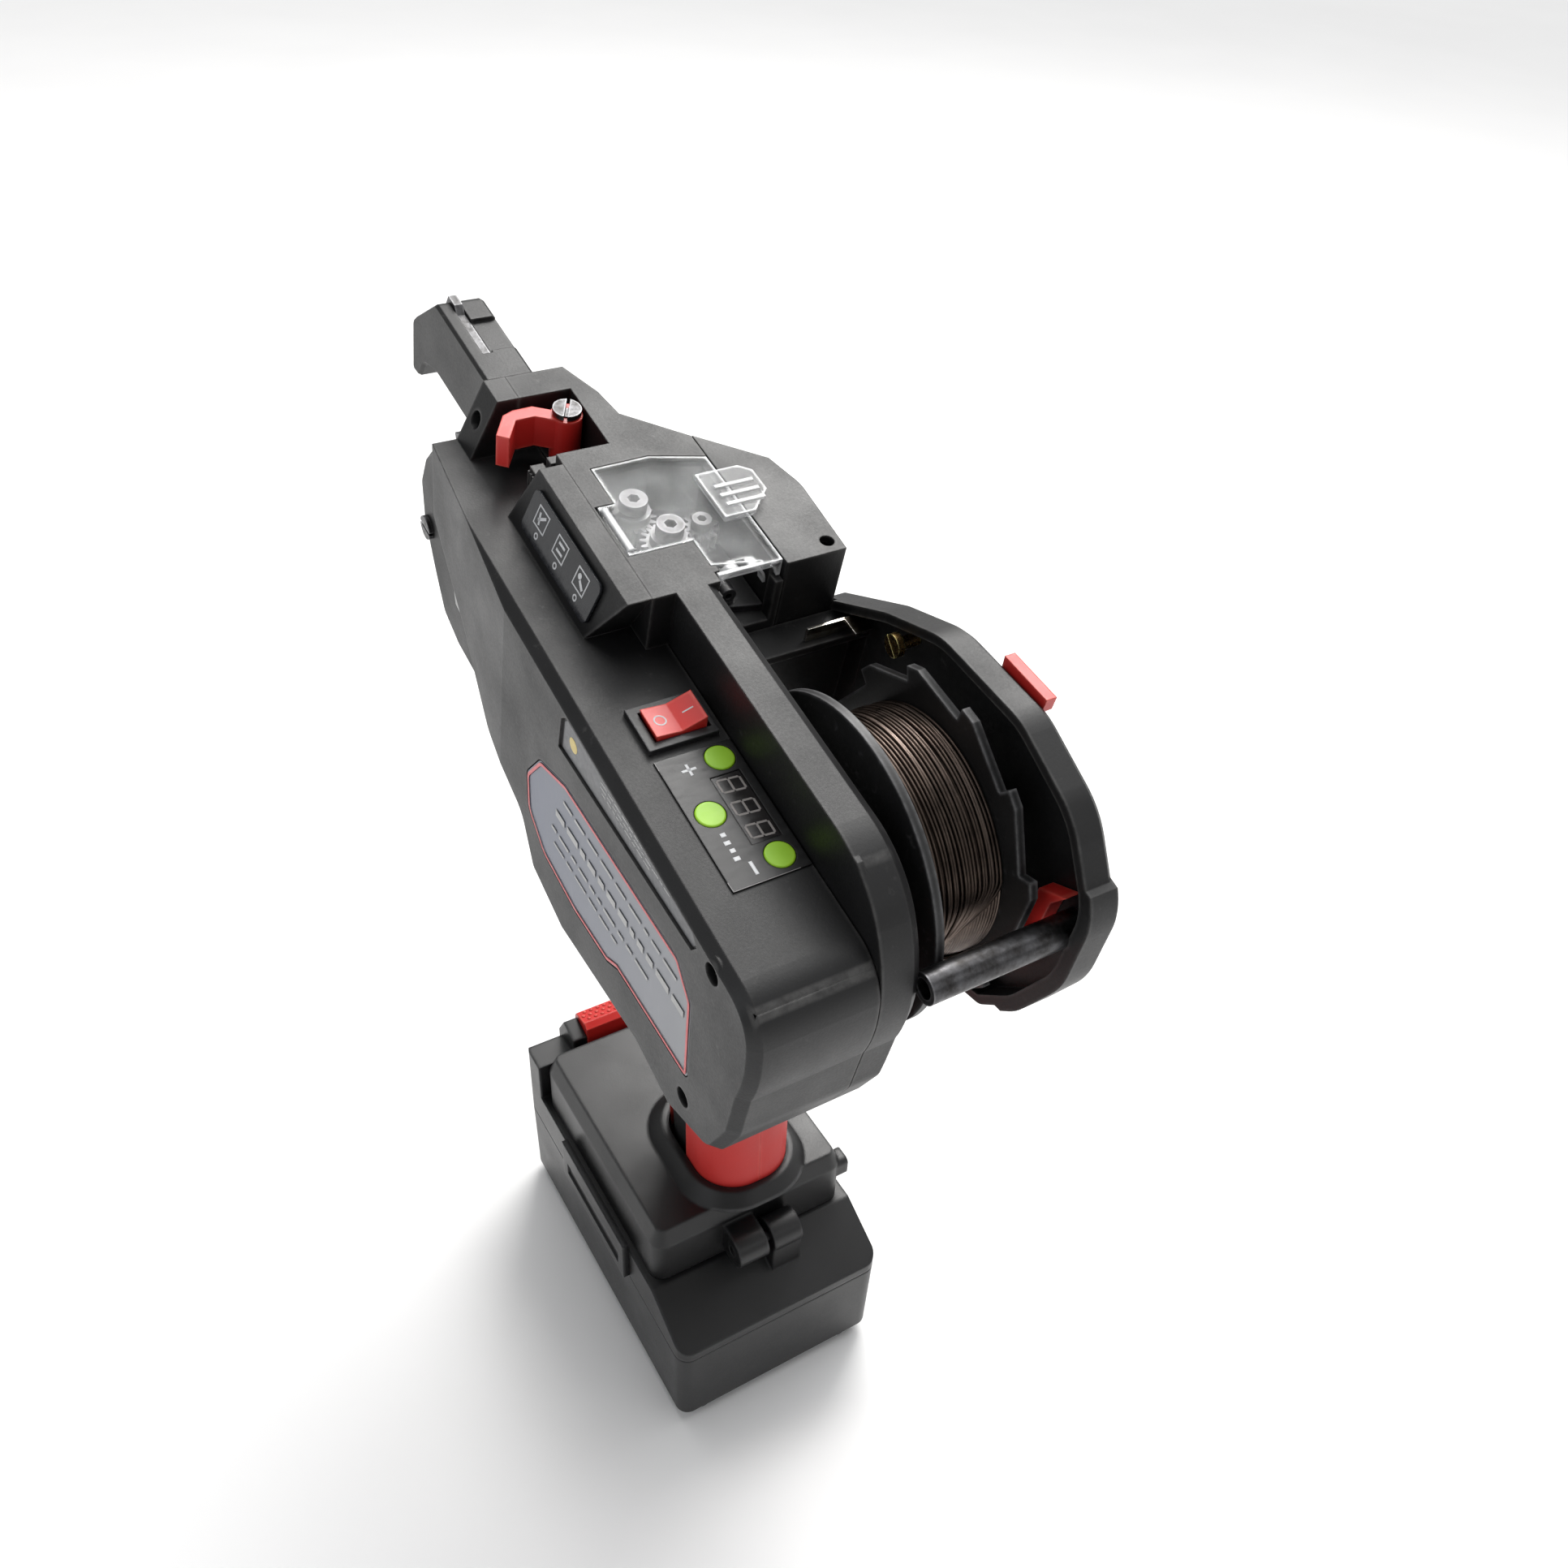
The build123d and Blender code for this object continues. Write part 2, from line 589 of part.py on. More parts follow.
# ================================================================ control panel
with BuildPart() as control_plate:
    body_box((-12.4, 30), (SEAM_Y + 0.3, 26.5), (DECK_H, DECK_H + 0.5))
    body_box((DIGITS_S[0] - 3.6, DIGITS_S[2] + 3.6), (DIGITS_Y - 4.2, DIGITS_Y + 4.2), (20, 26), Mode.SUBTRACT)
    with BuildSketch(deck(26)):
        with Locations(*[(s, y) for _, s, y in PANEL_BUTTONS]):
            Circle(4.1)
    extrude(amount=-8, mode=Mode.SUBTRACT)
control_plate.part.label = "control_plate"
export_step(control_plate.part, "parts/control_plate.step")

for name, s, y in PANEL_BUTTONS:
    with BuildPart() as button:
        with BuildSketch(deck(16)):
            with Locations((s, y)):
                Circle(4.0 - RUN)
        extrude(amount=DECK_H - 15.2)
        fillet(button.edges().sort_by(Axis.Z)[-1], 0.5)
    button.part.label = name
    export_step(button.part, "parts/" + name + ".step")

with BuildPart() as display:
    body_box((DIGITS_S[0] - 3.5, DIGITS_S[2] + 3.5), (DIGITS_Y - 4.1, DIGITS_Y + 4.1), (14.2, DECK_H + 0.3))
display.part.label = "display"
export_step(display.part, "parts/display.step")

with BuildPart() as control_board:
    body_box((-14, 31), (5.5, 34), (12.6, 14.2))
    for _, s, y in PANEL_BUTTONS:
        body_box((s - 2.5, s + 2.5), (y - 2.5, y + 2.5), (14.2, 15))
control_board.part.label = "control_board"
export_step(control_board.part, "parts/control_board.step")

with BuildPart() as rocker_bezel:
    body_box((ROCKER[0] - 7.4, ROCKER[0] + 7.4), (ROCKER[1] - 9.2, ROCKER[1] + 10.6), (DECK_H, DECK_H + 1.8))
    body_box((ROCKER[0] - 6.4, ROCKER[0] + 6.4), (ROCKER[1] - 9.0, ROCKER[1] + 9.0), (9, DECK_H))
    body_box((ROCKER[0] - 5.2, ROCKER[0] + 5.2), (ROCKER[1] - 8.0, ROCKER[1] + 8.0), (16, 26), Mode.SUBTRACT)
rocker_bezel.part.label = "rocker_bezel"
export_step(rocker_bezel.part, "parts/rocker_bezel.step")

ROCKER_TILT = radians(8)


def rocker_point(across_y, up_h):
    """Corner of the rocker's section, tipped so that its left end is down."""
    return (ROCKER[1] + across_y * cos(ROCKER_TILT) + up_h * sin(ROCKER_TILT),
            DECK_H + 1 - across_y * sin(ROCKER_TILT) + up_h * cos(ROCKER_TILT))


with BuildPart() as rocker:
    with BuildSketch(across(ROCKER[0] - 4.9)):
        Polygon(*[rocker_point(*corner) for corner in ((-6.6, -3), (-7.2, 3.4), (0, 1.7), (7.2, 3.4), (6.6, -3))],
                align=None)
    extrude(amount=9.8)
rocker.part.label = "rocker"
export_step(rocker.part, "parts/rocker.step")

# ================================================================ plates on the body
with BuildPart() as nameplate:
    with BuildSketch(side(LEFT_Y - 0.1)):
        rounded_outline(NAMEPLATE)
    extrude(amount=0.9)
nameplate.part.label = "nameplate"
export_step(nameplate.part, "parts/nameplate.step")

SLOPE = degrees(atan2(18.7, 7.0))
ICON_PLANE = Plane(origin=spot(97.5, 21.65, 32.9), x_dir=FORWARD,
                   z_dir=Vector(0, sin(radians(SLOPE)), 0) + UPWARD * cos(radians(SLOPE)))
with BuildPart() as icon_plate:
    with BuildSketch(ICON_PLANE):
        RectangleRounded(42, 13, 2)
    extrude(amount=0.8)
icon_plate.part.label = "icon_plate"
export_step(icon_plate.part, "parts/icon_plate.step")

with BuildPart() as body_screws:
    for (s, h), y in ((LEFT_SCREWS[0], LEFT_Y - 16), (LEFT_SCREWS[1], LEFT_Y - 16), (COLLAR_SCREW, 14)):
        with BuildSketch(side(y)):
            with Locations((s, h)):
                Circle(2.5)
                Rectangle(3.2, 0.8, mode=Mode.SUBTRACT)
                Rectangle(0.8, 3.2, mode=Mode.SUBTRACT)
        extrude(amount=-2.4)
body_screws.part.label = "body_screws"
export_step(body_screws.part, "parts/body_screws.step")

# ================================================================ reel and guard
def ratchet_outline():
    """Points of the ratchet rim that the brake pawl stops: a short crest, then a long fall to the next tooth."""
    points = []
    for tooth in range(RATCHET_TEETH):
        start = 88 + tooth * 360 / RATCHET_TEETH
        for turn, radius in ((0, RATCHET_HIGH), (6, RATCHET_HIGH), (29.4, RATCHET_LOW)):
            angle = radians(start + turn)
            points.append((radius * cos(angle), radius * sin(angle)))
    return points


with BuildPart() as reel_left_flange:
    with BuildSketch(side(REEL_LEFT_Y)):
        Circle(REEL_R)
        Circle(SPINDLE_R, mode=Mode.SUBTRACT)
    extrude(amount=FLANGE_T)
    with BuildSketch(side(REEL_LEFT_Y - FLANGE_T)):
        Circle(CORE_R)
        Circle(CORE_R - 3, mode=Mode.SUBTRACT)
    extrude(amount=REEL_LEFT_Y - REEL_RIGHT_Y - 2 * FLANGE_T)
reel_left_flange.part.label = "reel_left_flange"
export_step(reel_left_flange.part, "parts/reel_left_flange.step")

with BuildPart() as reel_right_flange:
    with BuildSketch(side(REEL_RIGHT_Y + FLANGE_T)):
        Polygon(*ratchet_outline(), align=None)
        Circle(SPINDLE_R, mode=Mode.SUBTRACT)
    extrude(amount=FLANGE_T)
reel_right_flange.part.label = "reel_right_flange"
export_step(reel_right_flange.part, "parts/reel_right_flange.step")

with BuildPart() as wire_coil:
    with BuildSketch(side(REEL_LEFT_Y - FLANGE_T)):
        Circle(WIRE_R)
        Circle(CORE_R, mode=Mode.SUBTRACT)
    extrude(amount=REEL_LEFT_Y - REEL_RIGHT_Y - 2 * FLANGE_T)
wire_coil.part.label = "wire_coil"
export_step(wire_coil.part, "parts/wire_coil.step")

with BuildPart() as right_spindle:
    with BuildSketch(side(-40.5)):
        Circle(SPINDLE_R - RUN)
    extrude(amount=6.5)
    with BuildSketch(side(-47)):
        Circle(4)
    extrude(amount=13.2)
    chamfer(right_spindle.faces().sort_by(Axis.Y)[-1].edges(), 2)
right_spindle.part.label = "right_spindle"
export_step(right_spindle.part, "parts/right_spindle.step")

with BuildPart() as spindle_spring:
    for turn in range(4):
        with BuildSketch(side(-47.3 - turn * 1.8)):
            Circle(6.2)
            Circle(4.8, mode=Mode.SUBTRACT)
        extrude(amount=1.0)
    body_box((4.9, 6.1), (-53.9, -47.3), (-0.5, 0.5))
spindle_spring.part.label = "spindle_spring"
export_step(spindle_spring.part, "parts/spindle_spring.step")


def guard_outline(inset=0.0):
    """Side outline of the reel guard: a round back, and an arm to the head in front."""
    rounded_outline(GUARD)
    if inset:
        offset(amount=-inset)


with BuildPart() as reel_guard:
    with BuildSketch(side(GUARD_IN_Y)):
        guard_outline()
    extrude(amount=GUARD_IN_Y - GUARD_OUT_Y - 1.5)
    extrude(reel_guard.faces().sort_by(Axis.Y)[0], amount=1.5, taper=40)
    with BuildSketch(side(GUARD_IN_Y)):
        guard_outline(-1.6)
        Polygon((-100, 28), (-30, 34), (100, 34), (100, 100), (-100, 100), align=None, mode=Mode.SUBTRACT)
        Polygon((-100, -14), (-20, -39), (-20, -100), (-100, -100), align=None, mode=Mode.SUBTRACT)
        Polygon((-30, -100), (100, -100), (100, 40), (-30, 40), align=None, mode=Mode.SUBTRACT)
    extrude(amount=GUARD_IN_Y - GUARD_OUT_Y - 0.5)
    with BuildSketch(side(GUARD_IN_Y)):
        guard_outline(WALL + 0.4)
    extrude(amount=GUARD_IN_Y - GUARD_OUT_Y - WALL, mode=Mode.SUBTRACT)
    body_box((55, HEAD_S - 0.1), (GUARD_OUT_Y + WALL, -9), (HEAD_LOW_H, 19))
    body_box((53, 62), (GUARD_OUT_Y + WALL + 0.2, -8), (HEAD_LOW_H - 1, 16.4), Mode.SUBTRACT)
    body_box((HEAD_S + 0.2, 80), (-49.6, -40), (-40, 42), Mode.SUBTRACT)
    with BuildSketch(side(GUARD_IN_Y)):
        with Locations((TUBE_S, TUBE_H)):
            Circle(TUBE_R)
    extrude(amount=GUARD_IN_Y - GUARD_OUT_Y - WALL, mode=Mode.SUBTRACT)
    with BuildSketch(side(GUARD_IN_Y - 4)):
        Circle(4 + RUN)
    extrude(amount=8, mode=Mode.SUBTRACT)
reel_guard.part.label = "reel_guard"
export_step(reel_guard.part, "parts/reel_guard.step")

with BuildPart() as guard_tube:
    with BuildSketch(side(RIGHT_Y)):
        with Locations((TUBE_S, TUBE_H)):
            Circle(TUBE_R)
            Circle(TUBE_R - 1.6, mode=Mode.SUBTRACT)
    extrude(amount=RIGHT_Y - GUARD_OUT_Y - WALL)
guard_tube.part.label = "guard_tube"
export_step(guard_tube.part, "parts/guard_tube.step")

with BuildPart() as reel_release:
    with BuildSketch(side(GUARD_OUT_Y - GAP)):
        Circle(11)
        Circle(4 + RUN, mode=Mode.SUBTRACT)
        Polygon((-7, 8), (7, 8), (7.5, 49), (8, 53.2), (-9.5, 54.6), (-9.5, 50.4), (-7, 46), align=None)
    extrude(amount=3.2)
reel_release.part.label = "reel_release"
export_step(reel_release.part, "parts/reel_release.step")

with BuildPart() as brake_pawl:
    with BuildSketch(side(-49.5)):
        Polygon((-45.5, 22.5), (-37, 16), (-36.5, 3), (-39, -6), (-42, -2), (-42, 15.8), align=None)
    extrude(amount=4.6)
brake_pawl.part.label = "brake_pawl"
export_step(brake_pawl.part, "parts/brake_pawl.step")

with BuildPart() as brake_spring:
    body_box((57, 57.8), (-52, -34), (19.2, 24))
    body_box((51, 57), (-52, -46), (23.2, 24))
brake_spring.part.label = "brake_spring"
export_step(brake_spring.part, "parts/brake_spring.step")

with BuildPart() as brake_screw:
    with BuildSketch(side(-46)):
        with Locations((36, 33.6)):
            Circle(3.4)
            Rectangle(7, 0.9, rotation=35, mode=Mode.SUBTRACT)
    extrude(amount=2.2)
    with BuildSketch(side(-48.2)):
        with Locations((36, 33.6)):
            Circle(1.8)
    extrude(amount=6.2)
brake_screw.part.label = "brake_screw"
export_step(brake_screw.part, "parts/brake_screw.step")

# ================================================================ handle and trigger
def handle_form(inset=0.0):
    """Grip between its lower and upper sections, all faces moved in by inset."""
    with BuildPart(mode=Mode.PRIVATE) as form:
        for x, z, length, width in (HANDLE_LOW, HANDLE_TOP):
            with BuildSketch(Plane.XY.offset(z)):
                with Locations((x, HANDLE_Y)):
                    RectangleRounded(length - 2 * inset, width - 2 * inset, HANDLE_CORNER - inset)
        loft()
    return form.part


def trigger_pocket():
    """Slot in the front of the grip that the trigger slides in."""
    world_box((-1, 40), (HANDLE_Y - 7, HANDLE_Y + 7), (128, 167), Mode.SUBTRACT)


for name, sign in (("handle_left", 1), ("handle_right", -1)):
    with BuildPart() as handle_half:
        add(handle_form(GRIP_T))
        add(handle_form(GRIP_T + 2.6), mode=Mode.SUBTRACT)
        trigger_pocket()
        world_box((-60, 60), (HANDLE_Y - 20 - sign * 20, HANDLE_Y + 20 - sign * 20), (60, 180), Mode.SUBTRACT)
    handle_half.part.label = name
    export_step(handle_half.part, "parts/" + name + ".step")

for name, sign in (("grip_left", 1), ("grip_right", -1)):
    with BuildPart() as grip_half:
        add(handle_form())
        add(handle_form(GRIP_T), mode=Mode.SUBTRACT)
        world_box((-13.5, 60), (-60, 60), (60, 180), Mode.SUBTRACT)
        world_box((-60, 60), (HANDLE_Y - 20 - sign * 20, HANDLE_Y + 20 - sign * 20), (60, 180), Mode.SUBTRACT)
    grip_half.part.label = name
    export_step(grip_half.part, "parts/" + name + ".step")

with BuildPart() as grip_front:
    add(handle_form())
    add(handle_form(GRIP_T), mode=Mode.SUBTRACT)
    world_box((-60, 4.5), (-60, 60), (60, 180), Mode.SUBTRACT)
    trigger_pocket()
grip_front.part.label = "grip_front"
export_step(grip_front.part, "parts/grip_front.step")

with BuildPart() as trigger:
    with BuildSketch(Plane(origin=(0, HANDLE_Y + 6.7, 0), x_dir=(1, 0, 0), z_dir=(0, -1, 0))):
        Polygon((6, 130.5), (21, 130.5), (27, 134), (22.5, 142), (21.5, 152), (25, 163.5), (6, 163.5), align=None)
    extrude(amount=13.4)
    fillet(trigger.edges().filter_by(Axis.Z, reverse=True).group_by(Axis.X)[-1], 2)
trigger.part.label = "trigger"
export_step(trigger.part, "parts/trigger.step")

with BuildPart() as trigger_switch:
    world_box((-22, -1.5), (HANDLE_Y - 6, HANDLE_Y + 6), (132, 160))
trigger_switch.part.label = "trigger_switch"
export_step(trigger_switch.part, "parts/trigger_switch.step")

with BuildPart() as trigger_spring:
    for turn in range(4):
        with BuildSketch(Plane.YZ.offset(-1.4 + 1.9 * turn)):
            with Locations((HANDLE_Y, 147)):
                Circle(3.6)
                Circle(2.6, mode=Mode.SUBTRACT)
        extrude(amount=1.0)
    world_box((-1.4, 5.3), (HANDLE_Y - 0.4, HANDLE_Y + 0.4), (149.7, 150.5))
trigger_spring.part.label = "trigger_spring"
export_step(trigger_spring.part, "parts/trigger_spring.step")

# ================================================================ foot
FOOT_MID_X = (FOOT_X[0] + FOOT_X[1]) / 2
with BuildPart() as foot:
    with BuildSketch(Plane.XY.offset(FOOT_Z[0])):
        with Locations((FOOT_MID_X, 0)):
            RectangleRounded(FOOT_X[1] - FOOT_X[0], 2 * FOOT_HALF, 5)
    extrude(amount=FOOT_Z[1] - FOOT_Z[0] - 6)
    extrude(foot.faces().sort_by(Axis.Z)[-1], amount=6, taper=22)
    with BuildSketch(Plane.XY.offset(FOOT_Z[1])):
        with Locations((HANDLE_LOW[0] + 1, HANDLE_Y)):
            RectangleRounded(HANDLE_LOW[2] + 13, HANDLE_LOW[3] + 13, HANDLE_CORNER + 5)
    with BuildSketch(Plane.XY.offset(FOOT_Z[1] + 5)):
        with Locations((HANDLE_LOW[0] + 0.5, HANDLE_Y)):
            RectangleRounded(HANDLE_LOW[2] + 5, HANDLE_LOW[3] + 5, HANDLE_CORNER + 2)
    loft()
    add(handle_form(-GAP / 2), mode=Mode.SUBTRACT)
    with BuildSketch(Plane.XY.offset(FOOT_Z[0])):
        with Locations((FOOT_MID_X, 0)):
            RectangleRounded(FOOT_X[1] - FOOT_X[0] - 2 * WALL, 2 * (FOOT_HALF - WALL), 3)
    extrude(amount=15, mode=Mode.SUBTRACT)
    with BuildSketch(Plane(origin=(0, 11, 0), x_dir=(1, 0, 0), z_dir=(0, -1, 0))):
        with Locations((KNUCKLE_X, KNUCKLE_Z)):
            Circle(KNUCKLE_R)
        Polygon((KNUCKLE_X, KNUCKLE_Z - KNUCKLE_R), (-34, 56), (-34, 68), (KNUCKLE_X, KNUCKLE_Z + KNUCKLE_R),
                align=None)
        with Locations((KNUCKLE_X, KNUCKLE_Z)):
            Circle(PIN_R, mode=Mode.SUBTRACT)
    extrude(amount=10.7)
    with BuildSketch(Plane.XZ.offset(FOOT_HALF - 2)):
        with Locations((-31, 66)):
            RectangleRounded(7, 8, 2)
    extrude(amount=4.5)
foot.part.label = "foot"
export_step(foot.part, "parts/foot.step")

with BuildPart() as hinge_pin:
    with BuildSketch(Plane.XZ.offset(-11)):
        with Locations((KNUCKLE_X, KNUCKLE_Z)):
            Circle(PIN_R)
    extrude(amount=11 + 12.4)
hinge_pin.part.label = "hinge_pin"
export_step(hinge_pin.part, "parts/hinge_pin.step")

with BuildPart() as foot_contacts:
    world_box((8, 42), (-16, 16), (64.5, 67.9))
    for y in (-10, -3.3, 3.3, 10):
        world_box((20, 32), (y - 1.5, y + 1.5), (57.6, 64.5))
foot_contacts.part.label = "foot_contacts"
export_step(foot_contacts.part, "parts/foot_contacts.step")

# ================================================================ battery
BATTERY_MID_X = (BATTERY_X[0] + BATTERY_X[1]) / 2
BATTERY_LENGTH = BATTERY_X[1] - BATTERY_X[0]
HUMP_X = 52.6

with BuildPart() as battery_lower:
    with BuildSketch(Plane.XY.offset(CASE_Z[1] - SEAM_GROOVE)):
        with Locations((BATTERY_MID_X, 0)):
            RectangleRounded(BATTERY_LENGTH, 2 * BATTERY_HALF, 5)
    extrude(amount=-(CASE_Z[1] - SEAM_GROOVE - CASE_Z[0] - 3), taper=1)
    extrude(battery_lower.faces().sort_by(Axis.Z)[-1], amount=SEAM_GROOVE, taper=50)
    extrude(battery_lower.faces().sort_by(Axis.Z)[0], amount=3, taper=40)
    with BuildSketch(Plane.XY.offset(CASE_Z[1])):
        with Locations((BATTERY_MID_X, 0)):
            RectangleRounded(BATTERY_LENGTH - 2 * WALL, 2 * (BATTERY_HALF - WALL), 3)
    extrude(amount=-(CASE_Z[1] - CASE_Z[0] - WALL - 1), taper=1.5, mode=Mode.SUBTRACT)
battery_lower.part.label = "battery_lower"
export_step(battery_lower.part, "parts/battery_lower.step")

with BuildPart() as battery_upper:
    with BuildSketch(Plane.XZ.offset(-BATTERY_HALF)):
        Polygon((BATTERY_X[0], CASE_Z[1]), (BATTERY_X[0], 42), (-36.8, PLATFORM_Z), (HUMP_X, PLATFORM_Z),
                (HUMP_X, 69), (BATTERY_X[1] - 2.5, 69), (BATTERY_X[1], 65), (BATTERY_X[1], CASE_Z[1]), align=None)
    extrude(amount=2 * BATTERY_HALF)
    with BuildSketch(Plane.XZ.offset(-24)):
        Polygon((HUMP_X, 60), (HUMP_X, 76), (61, 78), (BATTERY_X[1], 70), (BATTERY_X[1], 60), align=None)
    extrude(amount=48)
    with BuildSketch(Plane.XY.offset(90)):
        with Locations((BATTERY_MID_X, 0)):
            Rectangle(BATTERY_LENGTH + 40, 4 * BATTERY_HALF)
            RectangleRounded(BATTERY_LENGTH, 2 * BATTERY_HALF, 5, mode=Mode.SUBTRACT)
    extrude(amount=-60, mode=Mode.SUBTRACT)
    with BuildSketch(Plane.XZ.offset(-(BATTERY_HALF - WALL))):
        Polygon((BATTERY_X[0] + WALL, CASE_Z[1]), (BATTERY_X[0] + WALL, 40.6), (-36.2, PLATFORM_Z - WALL),
                (BATTERY_X[1] - WALL, PLATFORM_Z - WALL), (BATTERY_X[1] - WALL, CASE_Z[1]), align=None)
    extrude(amount=2 * (BATTERY_HALF - WALL), mode=Mode.SUBTRACT)
    world_box((HUMP_X - 1, 63.4), (-18.9, 18.9), (62, 90), Mode.SUBTRACT)
    with BuildSketch(Plane.XZ.offset(1.9)):
        with Locations((KNUCKLE_X, KNUCKLE_Z)):
            Circle(KNUCKLE_R)
        Polygon((KNUCKLE_X - 5, 62), (KNUCKLE_X - 5, 48), (KNUCKLE_X + 2.5, 50), (KNUCKLE_X + 2.5, 60), align=None)
        with Locations((KNUCKLE_X, KNUCKLE_Z)):
            Circle(PIN_R + RUN, mode=Mode.SUBTRACT)
    extrude(amount=10.5)
battery_upper.part.label = "battery_upper"
export_step(battery_upper.part, "parts/battery_upper.step")

with BuildPart() as release_button:
    with BuildSketch(Plane.XZ.offset(-18.6)):
        Polygon((HUMP_X, 66.6), (HUMP_X, 79), (55, 80.5), (62, 79), (63.1, 77), (63.1, 66.6), align=None)
    extrude(amount=37.2)
release_button.part.label = "release_button"
export_step(release_button.part, "parts/release_button.step")

with BuildPart() as side_clips:
    for sign in (1, -1):
        y_limits = sorted((sign * BATTERY_HALF, sign * (BATTERY_HALF + 2.2)))
        world_box((-20, 29), y_limits, (38.8, 56))
        world_box((-16, 25), sorted((sign * (BATTERY_HALF + 1.4), sign * (BATTERY_HALF + 3))), (42.5, 48),
                  Mode.SUBTRACT)
side_clips.part.label = "side_clips"
export_step(side_clips.part, "parts/side_clips.step")

with BuildPart() as battery_cells:
    for column in range(5):
        for layer in range(2):
            with BuildSketch(Plane.XZ.offset(-CELL_LENGTH / 2)):
                with Locations((BATTERY_MID_X + 3 + (column - 2) * 19.5, 15.9 + layer * 19)):
                    Circle(CELL_R)
            extrude(amount=CELL_LENGTH)
battery_cells.part.label = "battery_cells"
export_step(battery_cells.part, "parts/battery_cells.step")

with BuildPart() as battery_terminals:
    for y in (-10, -3.3, 3.3, 10):
        world_box((18, 34), (y - 2, y + 2), (PLATFORM_Z, 57.2))
battery_terminals.part.label = "battery_terminals"
export_step(battery_terminals.part, "parts/battery_terminals.step")

with BuildPart() as battery_feet:
    with BuildSketch(Plane.XY):
        with Locations((BATTERY_MID_X, 0)):
            with GridLocations(BATTERY_LENGTH - 14, 2 * BATTERY_HALF - 21, 2, 2):
                Circle(BATTERY_FOOT_R)
    extrude(amount=CASE_Z[0])
battery_feet.part.label = "battery_feet"
export_step(battery_feet.part, "parts/battery_feet.step")
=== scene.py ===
"""Looks of the cordless rebar tying tool: camera, light, materials, wire turns, springs and printed marks.

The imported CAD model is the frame.  Body coordinates are millimetres: s forward along
the pitched body, y to the left, h up from the reel axis.
"""
import math
import random

import bpy
from mathutils import Matrix, Vector


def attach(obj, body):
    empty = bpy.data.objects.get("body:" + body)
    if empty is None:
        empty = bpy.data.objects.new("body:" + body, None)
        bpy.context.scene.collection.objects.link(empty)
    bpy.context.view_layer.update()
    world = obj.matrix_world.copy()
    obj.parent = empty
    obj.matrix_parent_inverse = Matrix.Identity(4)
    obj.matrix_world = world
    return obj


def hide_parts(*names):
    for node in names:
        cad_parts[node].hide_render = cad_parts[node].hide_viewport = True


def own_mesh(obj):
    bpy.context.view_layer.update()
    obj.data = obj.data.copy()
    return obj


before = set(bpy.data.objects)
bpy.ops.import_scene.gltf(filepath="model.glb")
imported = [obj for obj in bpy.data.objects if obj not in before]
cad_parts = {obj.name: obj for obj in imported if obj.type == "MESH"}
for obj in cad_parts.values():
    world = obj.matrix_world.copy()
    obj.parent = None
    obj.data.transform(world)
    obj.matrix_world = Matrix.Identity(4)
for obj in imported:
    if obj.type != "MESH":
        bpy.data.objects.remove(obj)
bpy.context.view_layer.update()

# ---------------------------------------------------------------- body coordinates
MM = 0.001
PITCH = math.radians(13.6)
REEL_AXIS = Vector((-44.15, 0, 223.96)) * MM
FORWARD = Vector((math.cos(PITCH), 0, math.sin(PITCH)))
LEFT = Vector((0, 1, 0))
UPWARD = Vector((-math.sin(PITCH), 0, math.cos(PITCH)))


def spot(s, y, h):
    """World position, in metres, of a point in body coordinates."""
    return REEL_AXIS + (FORWARD * s + LEFT * y + UPWARD * h) * MM


def facing(origin, across, up):
    """Frame in millimetres at origin whose x is across, y is up and z faces the reader."""
    out = across.cross(up)
    turn = Matrix((across, up, out)).transposed().to_4x4()
    return Matrix.Translation(origin) @ turn @ Matrix.Scale(MM, 4)


def deck_frame(s, y, h):
    """Frame on a deck surface: x is s, y is y."""
    return facing(spot(s, y, h), FORWARD, LEFT)


def left_frame(y):
    """Frame on a left face: x is minus s, y is h."""
    return facing(spot(0, y, 0), -FORWARD, UPWARD)


